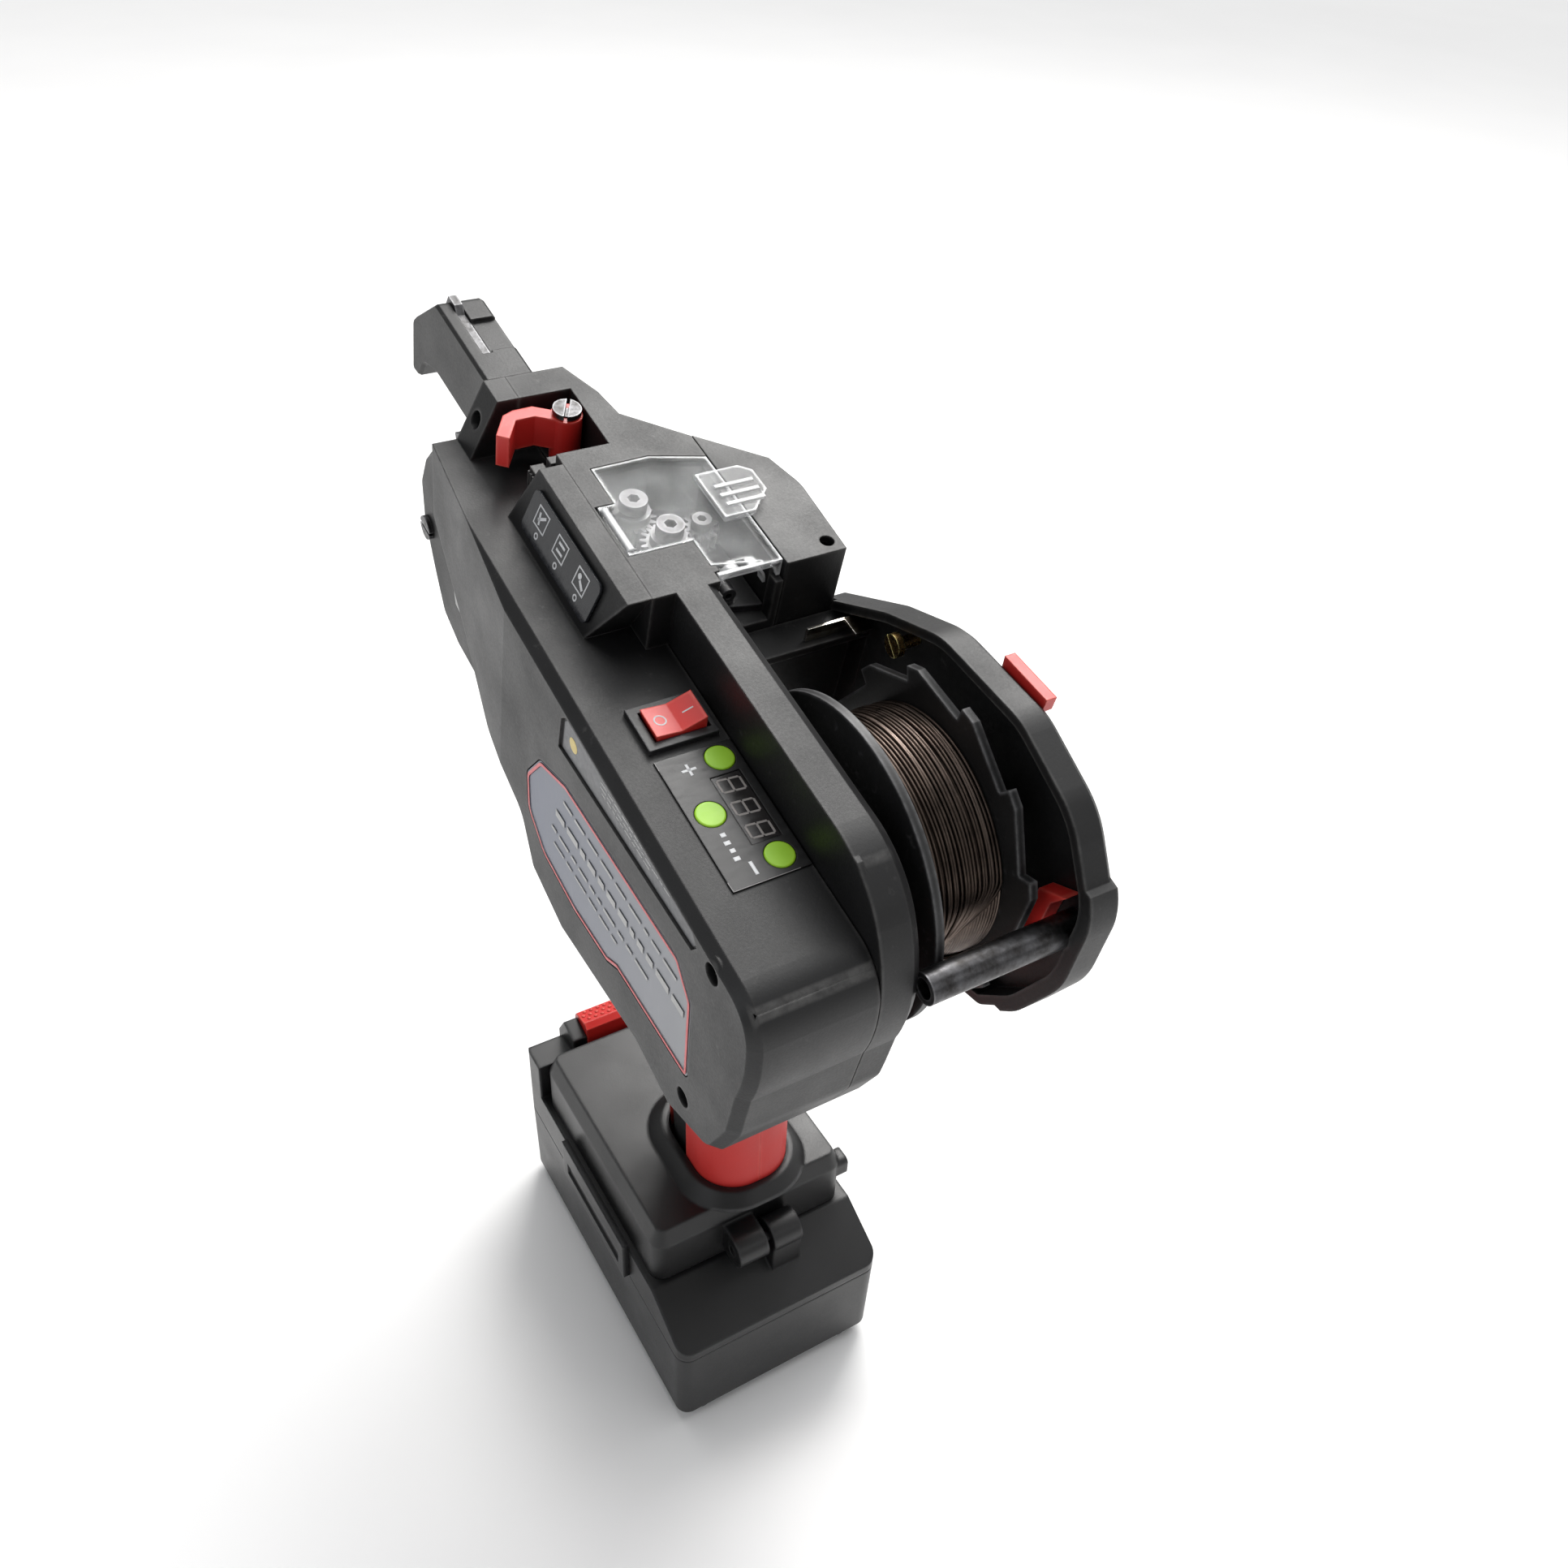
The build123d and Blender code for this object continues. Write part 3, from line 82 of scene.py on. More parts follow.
# ---------------------------------------------------------------- materials
class Surface:
    """A procedural material on one Principled shader, coordinates in metres."""

    def __init__(self, name):
        self.material = bpy.data.materials.new(name)
        self.material.use_nodes = True
        self.nodes = self.material.node_tree.nodes
        self.links = self.material.node_tree.links
        self.shader = self.nodes["Principled BSDF"]
        self.place = self.nodes.new("ShaderNodeTexCoord").outputs["Object"]

    def put(self, socket, value):
        if isinstance(value, bpy.types.NodeSocket):
            self.links.new(value, socket)
        else:
            socket.default_value = value

    def noise(self, scale, detail=3.0, roughness=0.55, stretch=None):
        made = self.nodes.new("ShaderNodeTexNoise")
        made.inputs["Scale"].default_value = scale
        made.inputs["Detail"].default_value = detail
        made.inputs["Roughness"].default_value = roughness
        place = self.place
        if stretch:
            warp = self.nodes.new("ShaderNodeMapping")
            warp.inputs["Scale"].default_value = stretch
            self.links.new(place, warp.inputs["Vector"])
            place = warp.outputs["Vector"]
        self.links.new(place, made.inputs["Vector"])
        return made.outputs["Fac"]

    def ramp(self, value, low, high, out_low=0.0, out_high=1.0):
        made = self.nodes.new("ShaderNodeMapRange")
        self.put(made.inputs["Value"], value)
        limits = (("From Min", low), ("From Max", high), ("To Min", out_low), ("To Max", out_high))
        for name, number in limits:
            made.inputs[name].default_value = number
        return made.outputs["Result"]

    def math(self, operation, first, second=0.0):
        made = self.nodes.new("ShaderNodeMath")
        made.operation = operation
        self.put(made.inputs[0], first)
        self.put(made.inputs[1], second)
        return made.outputs[0]

    def mix(self, share, first, second):
        made = self.nodes.new("ShaderNodeMix")
        made.data_type = "RGBA"
        self.put(made.inputs[0], share)
        self.put(made.inputs[6], first)
        self.put(made.inputs[7], second)
        return made.outputs[2]

    def edge(self, reach):
        """1 along outer edges, 0 on open faces."""
        made = self.nodes.new("ShaderNodeAmbientOcclusion")
        made.inside = True
        made.only_local = True
        made.samples = 6
        made.inputs["Distance"].default_value = reach
        return self.ramp(made.outputs["AO"], 0.92, 0.55)

    def bevel(self, radius):
        made = self.nodes.new("ShaderNodeBevel")
        made.samples = 4
        made.inputs["Radius"].default_value = radius
        return made.outputs["Normal"]

    def bump(self, height, strength, distance, normal=None):
        made = self.nodes.new("ShaderNodeBump")
        made.inputs["Strength"].default_value = strength
        made.inputs["Distance"].default_value = distance
        self.links.new(height, made.inputs["Height"])
        if normal is not None:
            self.links.new(normal, made.inputs["Normal"])
        return made.outputs["Normal"]

    def finish(self, color, roughness, normal=None, **plain):
        self.put(self.shader.inputs["Base Color"], color)
        self.put(self.shader.inputs["Roughness"], roughness)
        if normal is not None:
            self.links.new(normal, self.shader.inputs["Normal"])
        for name, number in plain.items():
            self.shader.inputs[name.replace("_", " ")].default_value = number
        return self.material


def rgb(red, green, blue):
    return (red, green, blue, 1.0)


def moulded(name, base, worn, roughness, grain=1400.0, grain_depth=0.25, wear=0.6, scuffs=0.35,
            round_off=0.0006, mottle=0.35, **plain):
    """Moulded plastic: fine grain, uneven gloss, sparse pale scuffs and rubbed edges."""
    made = Surface(name)
    broad = made.noise(45.0, 4.0)
    middle = made.noise(260.0, 4.0, 0.65)
    fine = made.noise(grain, 2.0, 0.6)
    color = made.mix(made.math("MULTIPLY", made.ramp(broad, 0.35, 0.7), mottle), base,
                     tuple(c * 1.7 + 0.002 for c in base[:3]) + (1.0,))
    specks = made.math("MULTIPLY", made.ramp(middle, 0.62, 0.74), made.ramp(broad, 0.42, 0.62))
    color = made.mix(made.math("MULTIPLY", specks, scuffs), color, worn)
    normal = None
    if wear:
        rubbed = made.math("MULTIPLY", made.edge(0.0011), made.ramp(middle, 0.3, 0.62, 0.25, 1.0))
        color = made.mix(made.math("MULTIPLY", rubbed, wear), color, worn)
        normal = made.bevel(round_off)
    uneven = made.math("ADD", made.ramp(broad, 0.3, 0.7, -0.05, 0.06), made.ramp(fine, 0.2, 0.8, -0.04, 0.05))
    rough = made.math("ADD", uneven, roughness)
    return made.finish(color, rough, made.bump(fine, grain_depth, 0.00012, normal), **plain)


def glossy(name, base, other, roughness, scale=600.0, wear=0.25, **plain):
    """Smooth plastic or film: soft colour drift, faint rub marks and a satin gloss."""
    made = Surface(name)
    drift = made.noise(70.0, 3.0)
    rub = made.noise(scale, 4.0, 0.7, (1.0, 0.25, 1.0))
    color = made.mix(made.ramp(drift, 0.3, 0.7), base, other)
    color = made.mix(made.math("MULTIPLY", made.ramp(rub, 0.55, 0.75), wear * 0.4), color,
                     tuple(min(1.0, c * 1.5 + 0.03) for c in base[:3]) + (1.0,))
    rough = made.math("ADD", made.ramp(rub, 0.3, 0.75, -0.05, 0.12), roughness)
    return made.finish(color, rough, made.bump(rub, 0.12, 0.00005, made.bevel(0.0004)), **plain)


def metal(name, base, dark, roughness, scale=900.0, stretch=(1.0, 1.0, 1.0), metallic=1.0, depth=0.2):
    """Machined or blackened metal: stretched grain, darker film patches and rubbed edges."""
    made = Surface(name)
    film = made.noise(220.0, 4.0, 0.65)
    grain = made.noise(scale, 3.0, 0.6, stretch)
    color = made.mix(made.ramp(film, 0.35, 0.68), base, dark)
    bright = tuple(min(1.0, c * 2.2 + 0.05) for c in base[:3]) + (1.0,)
    color = made.mix(made.math("MULTIPLY", made.edge(0.0006), 0.6), color, bright)
    rough = made.math("ADD", made.ramp(grain, 0.3, 0.7, -0.07, 0.1), roughness)
    return made.finish(color, rough, made.bump(grain, depth, 0.00006, made.bevel(0.0003)), Metallic=metallic)


def clear(name):
    """Clear moulded cover: see-through faces, painted highlights along its edges and light scratches."""
    made = Surface(name)
    haze = made.noise(90.0, 4.0)
    scratch = made.noise(700.0, 5.0, 0.7, (0.2, 1.0, 1.0))
    # Painted highlight: outer edges are painted near-white and made less see-through, standing in for edge
    # glints.
    painted_glint_rim = made.edge(0.0013)
    color = made.mix(painted_glint_rim, rgb(0.55, 0.57, 0.58), rgb(0.95, 0.96, 0.97))
    see = made.math("ADD", made.math("MULTIPLY", painted_glint_rim, 0.55), made.ramp(haze, 0.35, 0.7, 0.05, 0.13))
    see = made.math("ADD", see, made.math("MULTIPLY", made.ramp(scratch, 0.66, 0.74), 0.25))
    made.put(made.shader.inputs["Alpha"], see)
    rough = made.ramp(scratch, 0.3, 0.7, 0.04, 0.16)
    return made.finish(color, rough, made.bump(haze, 0.15, 0.0002, made.bevel(0.0005)), IOR=1.58)


def nameplate_film():
    """Silver-grey film, bluer and darker towards the nose end, with a soft sheen."""
    made = Surface("nameplate_film")
    apart = made.nodes.new("ShaderNodeSeparateXYZ")
    made.links.new(made.place, apart.inputs[0])
    along = made.ramp(apart.outputs["X"], -0.075, 0.03)
    streak = made.noise(500.0, 4.0, 0.6, (1.0, 1.0, 0.15))
    color = made.mix(along, rgb(0.23, 0.235, 0.25), rgb(0.085, 0.10, 0.15))
    color = made.mix(made.math("MULTIPLY", made.ramp(streak, 0.4, 0.7), 0.25), color, rgb(0.32, 0.33, 0.35))
    rough = made.ramp(streak, 0.3, 0.7, 0.30, 0.42)
    return made.finish(color, rough, made.bump(streak, 0.08, 0.00004, made.bevel(0.0003)), Metallic=0.35)


BLACK = rgb(0.0055, 0.0055, 0.0060)
PALE_WEAR = rgb(0.10, 0.098, 0.096)

MATERIALS = {
    "black_plastic": moulded("black_plastic", BLACK, PALE_WEAR, 0.47),
    "bezel_plastic": moulded("bezel_plastic", rgb(0.006, 0.006, 0.0066), rgb(0.07, 0.07, 0.075), 0.42,
                             scuffs=0.2),
    "battery_plastic": moulded("battery_plastic", rgb(0.005, 0.005, 0.0055), rgb(0.075, 0.075, 0.08), 0.40,
                               grain=1800.0, grain_depth=0.12, scuffs=0.10, wear=0.35, round_off=0.0016),
    "red_plastic": moulded("red_plastic", rgb(0.56, 0.022, 0.018), rgb(0.85, 0.16, 0.12), 0.36,
                           grain_depth=0.06, scuffs=0.15, wear=0.45, mottle=0.12),
    "red_grip": moulded("red_grip", rgb(0.50, 0.022, 0.018), rgb(0.78, 0.12, 0.09), 0.50, grain=2200.0,
                        grain_depth=0.2, scuffs=0.1, wear=0.4, mottle=0.15),
    "clear_plastic": clear("clear_plastic"),
    "black_trigger": moulded("black_trigger", rgb(0.012, 0.012, 0.012), rgb(0.08, 0.08, 0.08), 0.38),
    "green_button": glossy("green_button", rgb(0.27, 0.56, 0.018), rgb(0.36, 0.66, 0.03), 0.36,
                           Subsurface_Weight=0.0),
    "panel_film": glossy("panel_film", rgb(0.004, 0.004, 0.0044), rgb(0.007, 0.007, 0.0076), 0.34, wear=0.5),
    "icon_film": glossy("icon_film", rgb(0.012, 0.013, 0.015), rgb(0.02, 0.021, 0.026), 0.12, wear=0.3),
    "nameplate_film": nameplate_film(),
    "display_face": glossy("display_face", rgb(0.010, 0.009, 0.009), rgb(0.016, 0.014, 0.014), 0.18),
    "circuit_board": glossy("circuit_board", rgb(0.02, 0.10, 0.045), rgb(0.03, 0.14, 0.06), 0.35),
    "dark_steel": metal("dark_steel", rgb(0.10, 0.10, 0.105), rgb(0.035, 0.033, 0.032), 0.36),
    "tool_steel": metal("tool_steel", rgb(0.16, 0.16, 0.165), rgb(0.05, 0.048, 0.046), 0.45, depth=0.5),
    "spring_steel": metal("spring_steel", rgb(0.62, 0.58, 0.50), rgb(0.40, 0.33, 0.24), 0.16,
                          stretch=(1.0, 1.0, 0.1)),
    "brass": metal("brass", rgb(0.72, 0.46, 0.18), rgb(0.34, 0.19, 0.07), 0.26),
    "motor_steel": metal("motor_steel", rgb(0.50, 0.50, 0.51), rgb(0.30, 0.30, 0.31), 0.34),
    "switch_body": moulded("switch_body", rgb(0.03, 0.03, 0.03), rgb(0.1, 0.1, 0.1), 0.45, wear=0.3),
    "reel_plastic": moulded("reel_plastic", rgb(0.0075, 0.0075, 0.008), rgb(0.16, 0.16, 0.165), 0.46,
                            wear=0.8, scuffs=0.5),
    "tie_wire": metal("tie_wire", rgb(0.085, 0.062, 0.050), rgb(0.024, 0.017, 0.014), 0.34, scale=400.0),
    "cell_wrap": glossy("cell_wrap", rgb(0.03, 0.14, 0.28), rgb(0.04, 0.18, 0.34), 0.25),
    "rubber": moulded("rubber", rgb(0.014, 0.014, 0.014), rgb(0.06, 0.06, 0.06), 0.75, wear=0.2),
}
WHITE_INK = glossy("white_ink", rgb(0.72, 0.73, 0.74), rgb(0.62, 0.63, 0.65), 0.42)
GREY_INK = glossy("grey_ink", rgb(0.20, 0.19, 0.19), rgb(0.27, 0.26, 0.26), 0.35)
SEGMENT = glossy("segment_grey", rgb(0.24, 0.22, 0.21), rgb(0.30, 0.28, 0.27), 0.4)
RED_INK = glossy("red_ink", rgb(0.62, 0.045, 0.055), rgb(0.70, 0.10, 0.11), 0.35)
AMBER_INK = glossy("amber_ink", rgb(0.66, 0.50, 0.13), rgb(0.72, 0.56, 0.18), 0.4)
LABEL_GREY = glossy("label_grey", rgb(0.062, 0.064, 0.070), rgb(0.085, 0.088, 0.096), 0.34)
LABEL_PALE = glossy("label_pale", rgb(0.36, 0.36, 0.36), rgb(0.46, 0.46, 0.45), 0.4)

BLACK_SHEEN = 0.42
black_shader = MATERIALS["black_plastic"].node_tree.nodes["Principled BSDF"]
black_shader.inputs["Specular IOR Level"].default_value = BLACK_SHEEN

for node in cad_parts.values():
    for place_in in node.material_slots:
        place_in.material = MATERIALS[place_in.material.name.split(".")[0]]


# ---------------------------------------------------------------- pieces
def piece(name, points, faces, material, body, smooth=False):
    """A new mesh piece that rides on a body; points are in world metres."""
    mesh = bpy.data.meshes.new(name)
    mesh.from_pydata([tuple(p) for p in points], [], faces)
    mesh.materials.append(material)
    mesh.polygons.foreach_set("use_smooth", [smooth] * len(mesh.polygons))
    mesh.update()
    made = bpy.data.objects.new(name, mesh)
    bpy.context.scene.collection.objects.link(made)
    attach(made, body)
    return made


def prints(name, shapes, at, low, high, material, body):
    """Thin flat marks: each shape is one loop, or an outer and an inner loop of equal length."""
    points, faces = [], []
    for shape in shapes:
        start = len(points)
        if isinstance(shape, tuple):
            outer, inner = shape
            count = len(outer)
            for loop, level in ((outer, low), (outer, high), (inner, high), (inner, low)):
                points += [at @ Vector((x, y, level)) for x, y in loop]
            for i in range(count):
                j = (i + 1) % count
                for ring in range(4):
                    a, b = start + ring * count, start + (ring + 1) % 4 * count
                    faces.append((a + i, a + j, b + j, b + i))
        else:
            count = len(shape)
            points += [at @ Vector((x, y, low)) for x, y in shape]
            points += [at @ Vector((x, y, high)) for x, y in shape]
            faces.append(tuple(range(start + count - 1, start - 1, -1)))
            faces.append(tuple(range(start + count, start + 2 * count)))
            for i in range(count):
                j = (i + 1) % count
                faces.append((start + i, start + j, start + count + j, start + count + i))
    return piece(name, points, faces, material, body)


def bar(x0, y0, x1, y1, width):
    """A straight stroke from one point to another, as a loop."""
    along = Vector((x1 - x0, y1 - y0)).normalized()
    side_x, side_y = -along.y * width / 2, along.x * width / 2
    return [(x0 - side_x, y0 - side_y), (x1 - side_x, y1 - side_y), (x1 + side_x, y1 + side_y),
            (x0 + side_x, y0 + side_y)]


def circle(x, y, radius, count=24):
    return [(x + radius * math.cos(2 * math.pi * i / count), y + radius * math.sin(2 * math.pi * i / count))
            for i in range(count)]


def inset(loop, amount):
    """Loop moved inwards by amount; corners run counter-clockwise."""
    area = sum(a[0] * b[1] - b[0] * a[1] for a, b in zip(loop, loop[1:] + loop[:1]))
    turn = 1.0 if area > 0 else -1.0
    moved = []
    for i, here in enumerate(loop):
        before, after = Vector(loop[i - 1]), Vector(loop[(i + 1) % len(loop)])
        here = Vector(here)
        first, second = (here - before).normalized(), (after - here).normalized()
        inward_a = Vector((-first.y, first.x)) * turn
        inward_b = Vector((-second.y, second.x)) * turn
        middle = (inward_a + inward_b).normalized()
        moved.append(tuple(here + middle * amount / max(0.3, middle.dot(inward_a))))
    return moved


def sweep(path, radius, sides=8, closed=False):
    """Round tube along a path: its points and faces."""
    count = len(path)
    points, faces = [], []
    normal = None
    for i, here in enumerate(path):
        ahead = path[(i + 1) % count] if closed or i < count - 1 else here
        behind = path[i - 1] if closed or i else here
        along = (ahead - behind).normalized()
        if normal is None:
            normal = along.orthogonal().normalized()
        normal = (normal - along * normal.dot(along)).normalized()
        other = along.cross(normal)
        for k in range(sides):
            angle = 2 * math.pi * k / sides
            points.append(here + (normal * math.cos(angle) + other * math.sin(angle)) * radius)
    for i in range(count if closed else count - 1):
        j = (i + 1) % count
        shift = 0
        if closed and j == 0:
            shift = min(range(sides), key=lambda k: (points[i * sides] - points[k]).length)
        for k in range(sides):
            m = (k + 1) % sides
            faces.append((i * sides + k, i * sides + m,
                          j * sides + (m + shift) % sides, j * sides + (k + shift) % sides))
    if not closed:
        faces.append(tuple(range(sides - 1, -1, -1)))
        faces.append(tuple(range((count - 1) * sides, count * sides)))
    return points, faces


def tubes(name, paths, radius, material, body, sides=8, closed=False):
    points, faces = [], []
    for path in paths:
        more_points, more_faces = sweep(path, radius, sides, closed)
        start = len(points)
        points += more_points
        faces += [tuple(start + k for k in face) for face in more_faces]
    return piece(name, points, faces, material, body, smooth=True)


# ---------------------------------------------------------------- wound wire
WIRE = 0.95
COIL_R = 36.0
COIL_Y = (-17.0, -41.4)
TURNS = 23
GATHER = (math.radians(150), math.radians(181), math.radians(214))
GATHER_Y = -23.4


def around(radius, y, angle):
    """Point on a ring about the reel axis."""
    return spot(radius * math.cos(angle), y, radius * math.sin(angle))


def smooth_step(value):
    value = min(1.0, max(0.0, value))
    return value * value * (3 - 2 * value)


def gathered(angle):
    """How far the turns are drawn together at an angle, 0 to 1."""
    rise, peak, fall = GATHER
    if angle < peak:
        return smooth_step((angle - rise) / (peak - rise)) ** 1.3
    return 1 - smooth_step((angle - peak) / (fall - peak))


def outer_turns():
    rng = random.Random(11)
    steps = 150
    paths = []
    for turn in range(TURNS):
        base = COIL_Y[0] + (COIL_Y[1] - COIL_Y[0]) * turn / (TURNS - 1) + rng.uniform(-0.22, 0.22)
        lift = rng.uniform(-0.35, 0.0)
        wave, phase = rng.uniform(0.05, 0.3), rng.uniform(0, 2 * math.pi)
        tight = GATHER_Y + rng.uniform(-0.9, 0.9)
        path = []
        for i in range(steps):
            angle = 2 * math.pi * i / steps
            pull = gathered(angle)
            y = base + wave * math.sin(angle * 2 + phase)
            y = y + (tight - y) * pull
            radius = COIL_R - WIRE / 2 + lift + pull * (0.25 * (turn % 4) - 0.3)
            path.append(around(radius, max(COIL_Y[1], min(COIL_Y[0], y)), angle))
        paths.append(path)
    return paths


LAYER_Y = (-16.5, -41.9)
LAYER_RIDGE = 0.42
LAYER_BELOW = 0.75
LAYER_CORE_R = 20.5


def under_layer():
    """The layers below as one ridged drum: its points and faces."""
    rows, steps = 120, 120
    points, faces = [], []
    for row in range(rows + 1):
        y = LAYER_Y[0] + (LAYER_Y[1] - LAYER_Y[0]) * row / rows
        ridge = LAYER_RIDGE * abs(math.sin(math.pi * (y - LAYER_Y[0])))
        for i in range(steps):
            points.append(around(COIL_R - WIRE - LAYER_BELOW + ridge, y, 2 * math.pi * i / steps))
    for row in range(rows):
        for i in range(steps):
            j = (i + 1) % steps
            faces.append((row * steps + i, row * steps + j, (row + 1) * steps + j, (row + 1) * steps + i))
    core_row = len(points)
    for y in LAYER_Y:
        for i in range(steps):
            points.append(around(LAYER_CORE_R, y, 2 * math.pi * i / steps))
    for i in range(steps):
        j = (i + 1) % steps
        faces.append((i, core_row + i, core_row + j, j))
        last = rows * steps
        faces.append((last + i, last + j, core_row + steps + j, core_row + steps + i))
        faces.append((core_row + i, core_row + steps + i, core_row + steps + j, core_row + j))
    return points, faces


wire_turns = tubes("wire_turns", outer_turns(), WIRE / 2 * MM, MATERIALS["tie_wire"], "reel_body",
                   closed=True)
layer_points, layer_faces = under_layer()
wire_layers = piece("wire_layers", layer_points, layer_faces, MATERIALS["tie_wire"], "reel_body",
                    smooth=True)
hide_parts("wire_coil")

# ---------------------------------------------------------------- springs
def helix(centre, axis, start, length, radius, coils, closed_ends=0.6):
    """Centreline of a compression spring with closed end coils."""
    side_a = axis.orthogonal().normalized()
    side_b = axis.cross(side_a)
    path = []
    steps = int(coils * 28)
    for i in range(steps + 1):
        share = i / steps
        angle = share * coils * 2 * math.pi
        travel = smooth_step(share) * closed_ends + share * (1 - closed_ends)
        path.append(centre + axis * (start + length * travel) * MM
                    + (side_a * math.cos(angle) + side_b * math.sin(angle)) * radius * MM)
    return path


SPINDLE_SPRING = (-47.7, -6.0)
SPRING_WIRE_R = 0.4
SPRING_TURNS = 4.5
spindle_path = helix(spot(0, 0, 0), LEFT, SPINDLE_SPRING[0], SPINDLE_SPRING[1], 5.6, SPRING_TURNS)
spindle_coils = tubes("spindle_coils", [spindle_path], SPRING_WIRE_R * MM, MATERIALS["spring_steel"],
                      "root")
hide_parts("spindle_spring")

TRIGGER_SPRING_AT = Vector((0, -3.0, 147.0)) * MM
trigger_path = helix(TRIGGER_SPRING_AT, Vector((1, 0, 0)), -0.9, 5.7, 3.1, SPRING_TURNS)
trigger_coils = tubes("trigger_coils", [trigger_path], SPRING_WIRE_R * MM, MATERIALS["spring_steel"],
                      "root")
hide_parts("trigger_spring")
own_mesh(spindle_coils)
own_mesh(trigger_coils)

# ---------------------------------------------------------------- display and panel marks
DIGITS_S = (1.7, 9.2, 16.7)
DIGITS_Y = 11.5


def digit(s, lean=0.09):
    """Seven bars of one display figure; its top points right and its reading runs rearwards."""
    half_wide, half_tall, gap, thick = 2.0, 3.1, 0.28, 0.62
    strokes = []
    for level in (-half_tall, 0.0, half_tall):
        strokes.append((-half_wide + gap, level, half_wide - gap, level))
    for edge in (-half_wide, half_wide):
        for low, high in ((-half_tall, 0.0), (0.0, half_tall)):
            strokes.append((edge, low + gap, edge, high - gap))
    shapes = []
    for x0, y0, x1, y1 in strokes:
        loop = bar(x0, y0, x1, y1, thick)
        tip_a = (x0 + (x0 - x1) * 0.07, y0 + (y0 - y1) * 0.07)
        tip_b = (x1 + (x1 - x0) * 0.07, y1 + (y1 - y0) * 0.07)
        loop = [loop[0], loop[1], tip_b, loop[2], loop[3], tip_a]
        shapes.append([(s - (x + lean * y), DIGITS_Y - y) for x, y in loop])
    return shapes


panel = deck_frame(0, 0, 0)
prints("display_segments", [shape for s in DIGITS_S for shape in digit(s)], panel, 23.58, 23.64, SEGMENT,
       "root")
PANEL_MARKS = [bar(24.6, 17.3, 24.6, 21.3, 0.75), bar(22.7, 19.3, 26.5, 19.3, 0.75),
               bar(-10.0, 18.6, -6.0, 18.6, 0.95)]
for i in range(4):
    PANEL_MARKS.append(bar(3.4 - i * 2.5, 20.2, 3.4 - i * 2.5, 21.6 + 0.3 * (i % 2), 1.2))
prints("panel_marks", PANEL_MARKS, panel, 23.78, 23.84, WHITE_INK, "root")
PANEL_RUBS = [bar(-12.35, 26.3, -9.4, 26.45, 0.22), bar(-12.3, 26.3, -12.3, 8.0, 0.2),
              bar(27.0, 26.4, 29.9, 26.4, 0.2)]
prints("panel_rub", PANEL_RUBS, panel, 23.78, 23.82, GREY_INK, "root")

ROCKER_TILT = math.radians(8)
ROCKER_RISE = math.atan2(1.7, 7.2)


def rocker_frame(sign, reach):
    """Frame on one of the rocker's two faces: x is s, y runs to the left."""
    y, h = sign * reach, 1.7 + 1.7 * reach / 7.2
    here = spot(40.0, 15.8 + y * math.cos(ROCKER_TILT) + h * math.sin(ROCKER_TILT),
                24.3 - y * math.sin(ROCKER_TILT) + h * math.cos(ROCKER_TILT))
    angle = sign * ROCKER_RISE - ROCKER_TILT
    return facing(here, FORWARD, LEFT * math.cos(angle) + UPWARD * math.sin(angle))


prints("rocker_off", [(circle(0, 0, 1.75), circle(0, 0, 1.35))], rocker_frame(1, 3.9), -0.02, 0.05, WHITE_INK,
       "rocker_body")
prints("rocker_on", [bar(0, -1.6, 0, 1.6, 0.4)], rocker_frame(-1, 3.9), -0.02, 0.05, WHITE_INK, "rocker_body")

# ---------------------------------------------------------------- pictograms
SLOPE = math.atan2(18.7, 7.0)
icon = facing(spot(97.5, 21.65, 32.9), FORWARD, LEFT * math.cos(SLOPE) - UPWARD * math.sin(SLOPE))


def pictogram(x, y, kind):
    """A generic step picture: an outlined square, a simple figure in it, and a dot for its number."""
    square = [(x - 3.3, y - 3.4), (x + 3.3, y - 3.4), (x + 3.3, y + 2.6), (x - 3.3, y + 2.6)]
    shapes = [(square, inset(square, 0.45)),
              (circle(x - 0.6, y + 4.6, 1.05, 16), circle(x - 0.6, y + 4.6, 0.55, 16))]
    if kind == 0:
        shapes += [bar(x - 1.8, y - 2.0, x + 1.6, y + 0.6, 0.9), bar(x + 1.6, y - 1.8, x + 0.4, y + 1.6, 0.9)]
    elif kind == 1:
        shapes += [bar(x - 1.8, y - 1.6, x + 1.8, y - 1.6, 0.8), bar(x - 1.8, y + 0.6, x + 1.8, y + 0.6, 0.8)]
    else:
        shapes += [circle(x + 1.2, y - 1.2, 0.9, 14), bar(x - 2.0, y + 1.2, x + 0.6, y - 0.4, 1.0)]
    return shapes


PICTURES_AT = (13.0, 0.5, -12.5)
prints("step_pictures", [shape for i, x in enumerate(PICTURES_AT) for shape in pictogram(x, -1.0, i)], icon,
       0.8, 0.86, WHITE_INK, "root")

# ---------------------------------------------------------------- nameplate and labels on the left
def rounded(corners, steps=5):
    """Closed loop with an arc at each corner; a corner is (x, y, radius)."""
    loop = []
    for i, (x, y, radius) in enumerate(corners):
        here = Vector((x, y))
        before = (Vector(corners[i - 1][:2]) - here).normalized()
        after = (Vector(corners[(i + 1) % len(corners)][:2]) - here).normalized()
        half = before.angle(after) / 2
        middle = here + (before + after).normalized() * (radius / math.sin(half))
        first = here + before * (radius / math.tan(half)) - middle
        last = here + after * (radius / math.tan(half)) - middle
        for step in range(steps + 1):
            spoke = first.lerp(last, step / steps).normalized() * radius
            loop.append(tuple(middle + spoke))
    return loop


NAMEPLATE = rounded([(68, -12, 6), (52, -4.5, 4), (-13, 4, 3), (-22, -4, 3), (-27, -33, 2), (13, -39.5, 1),
                     (19, -44, 2), (40, -48, 6), (62, -48, 8), (74, -40, 6), (76, -26, 6)])
left_face = left_frame(0)


def mirrored(loop):
    return [(-s, h) for s, h in loop]


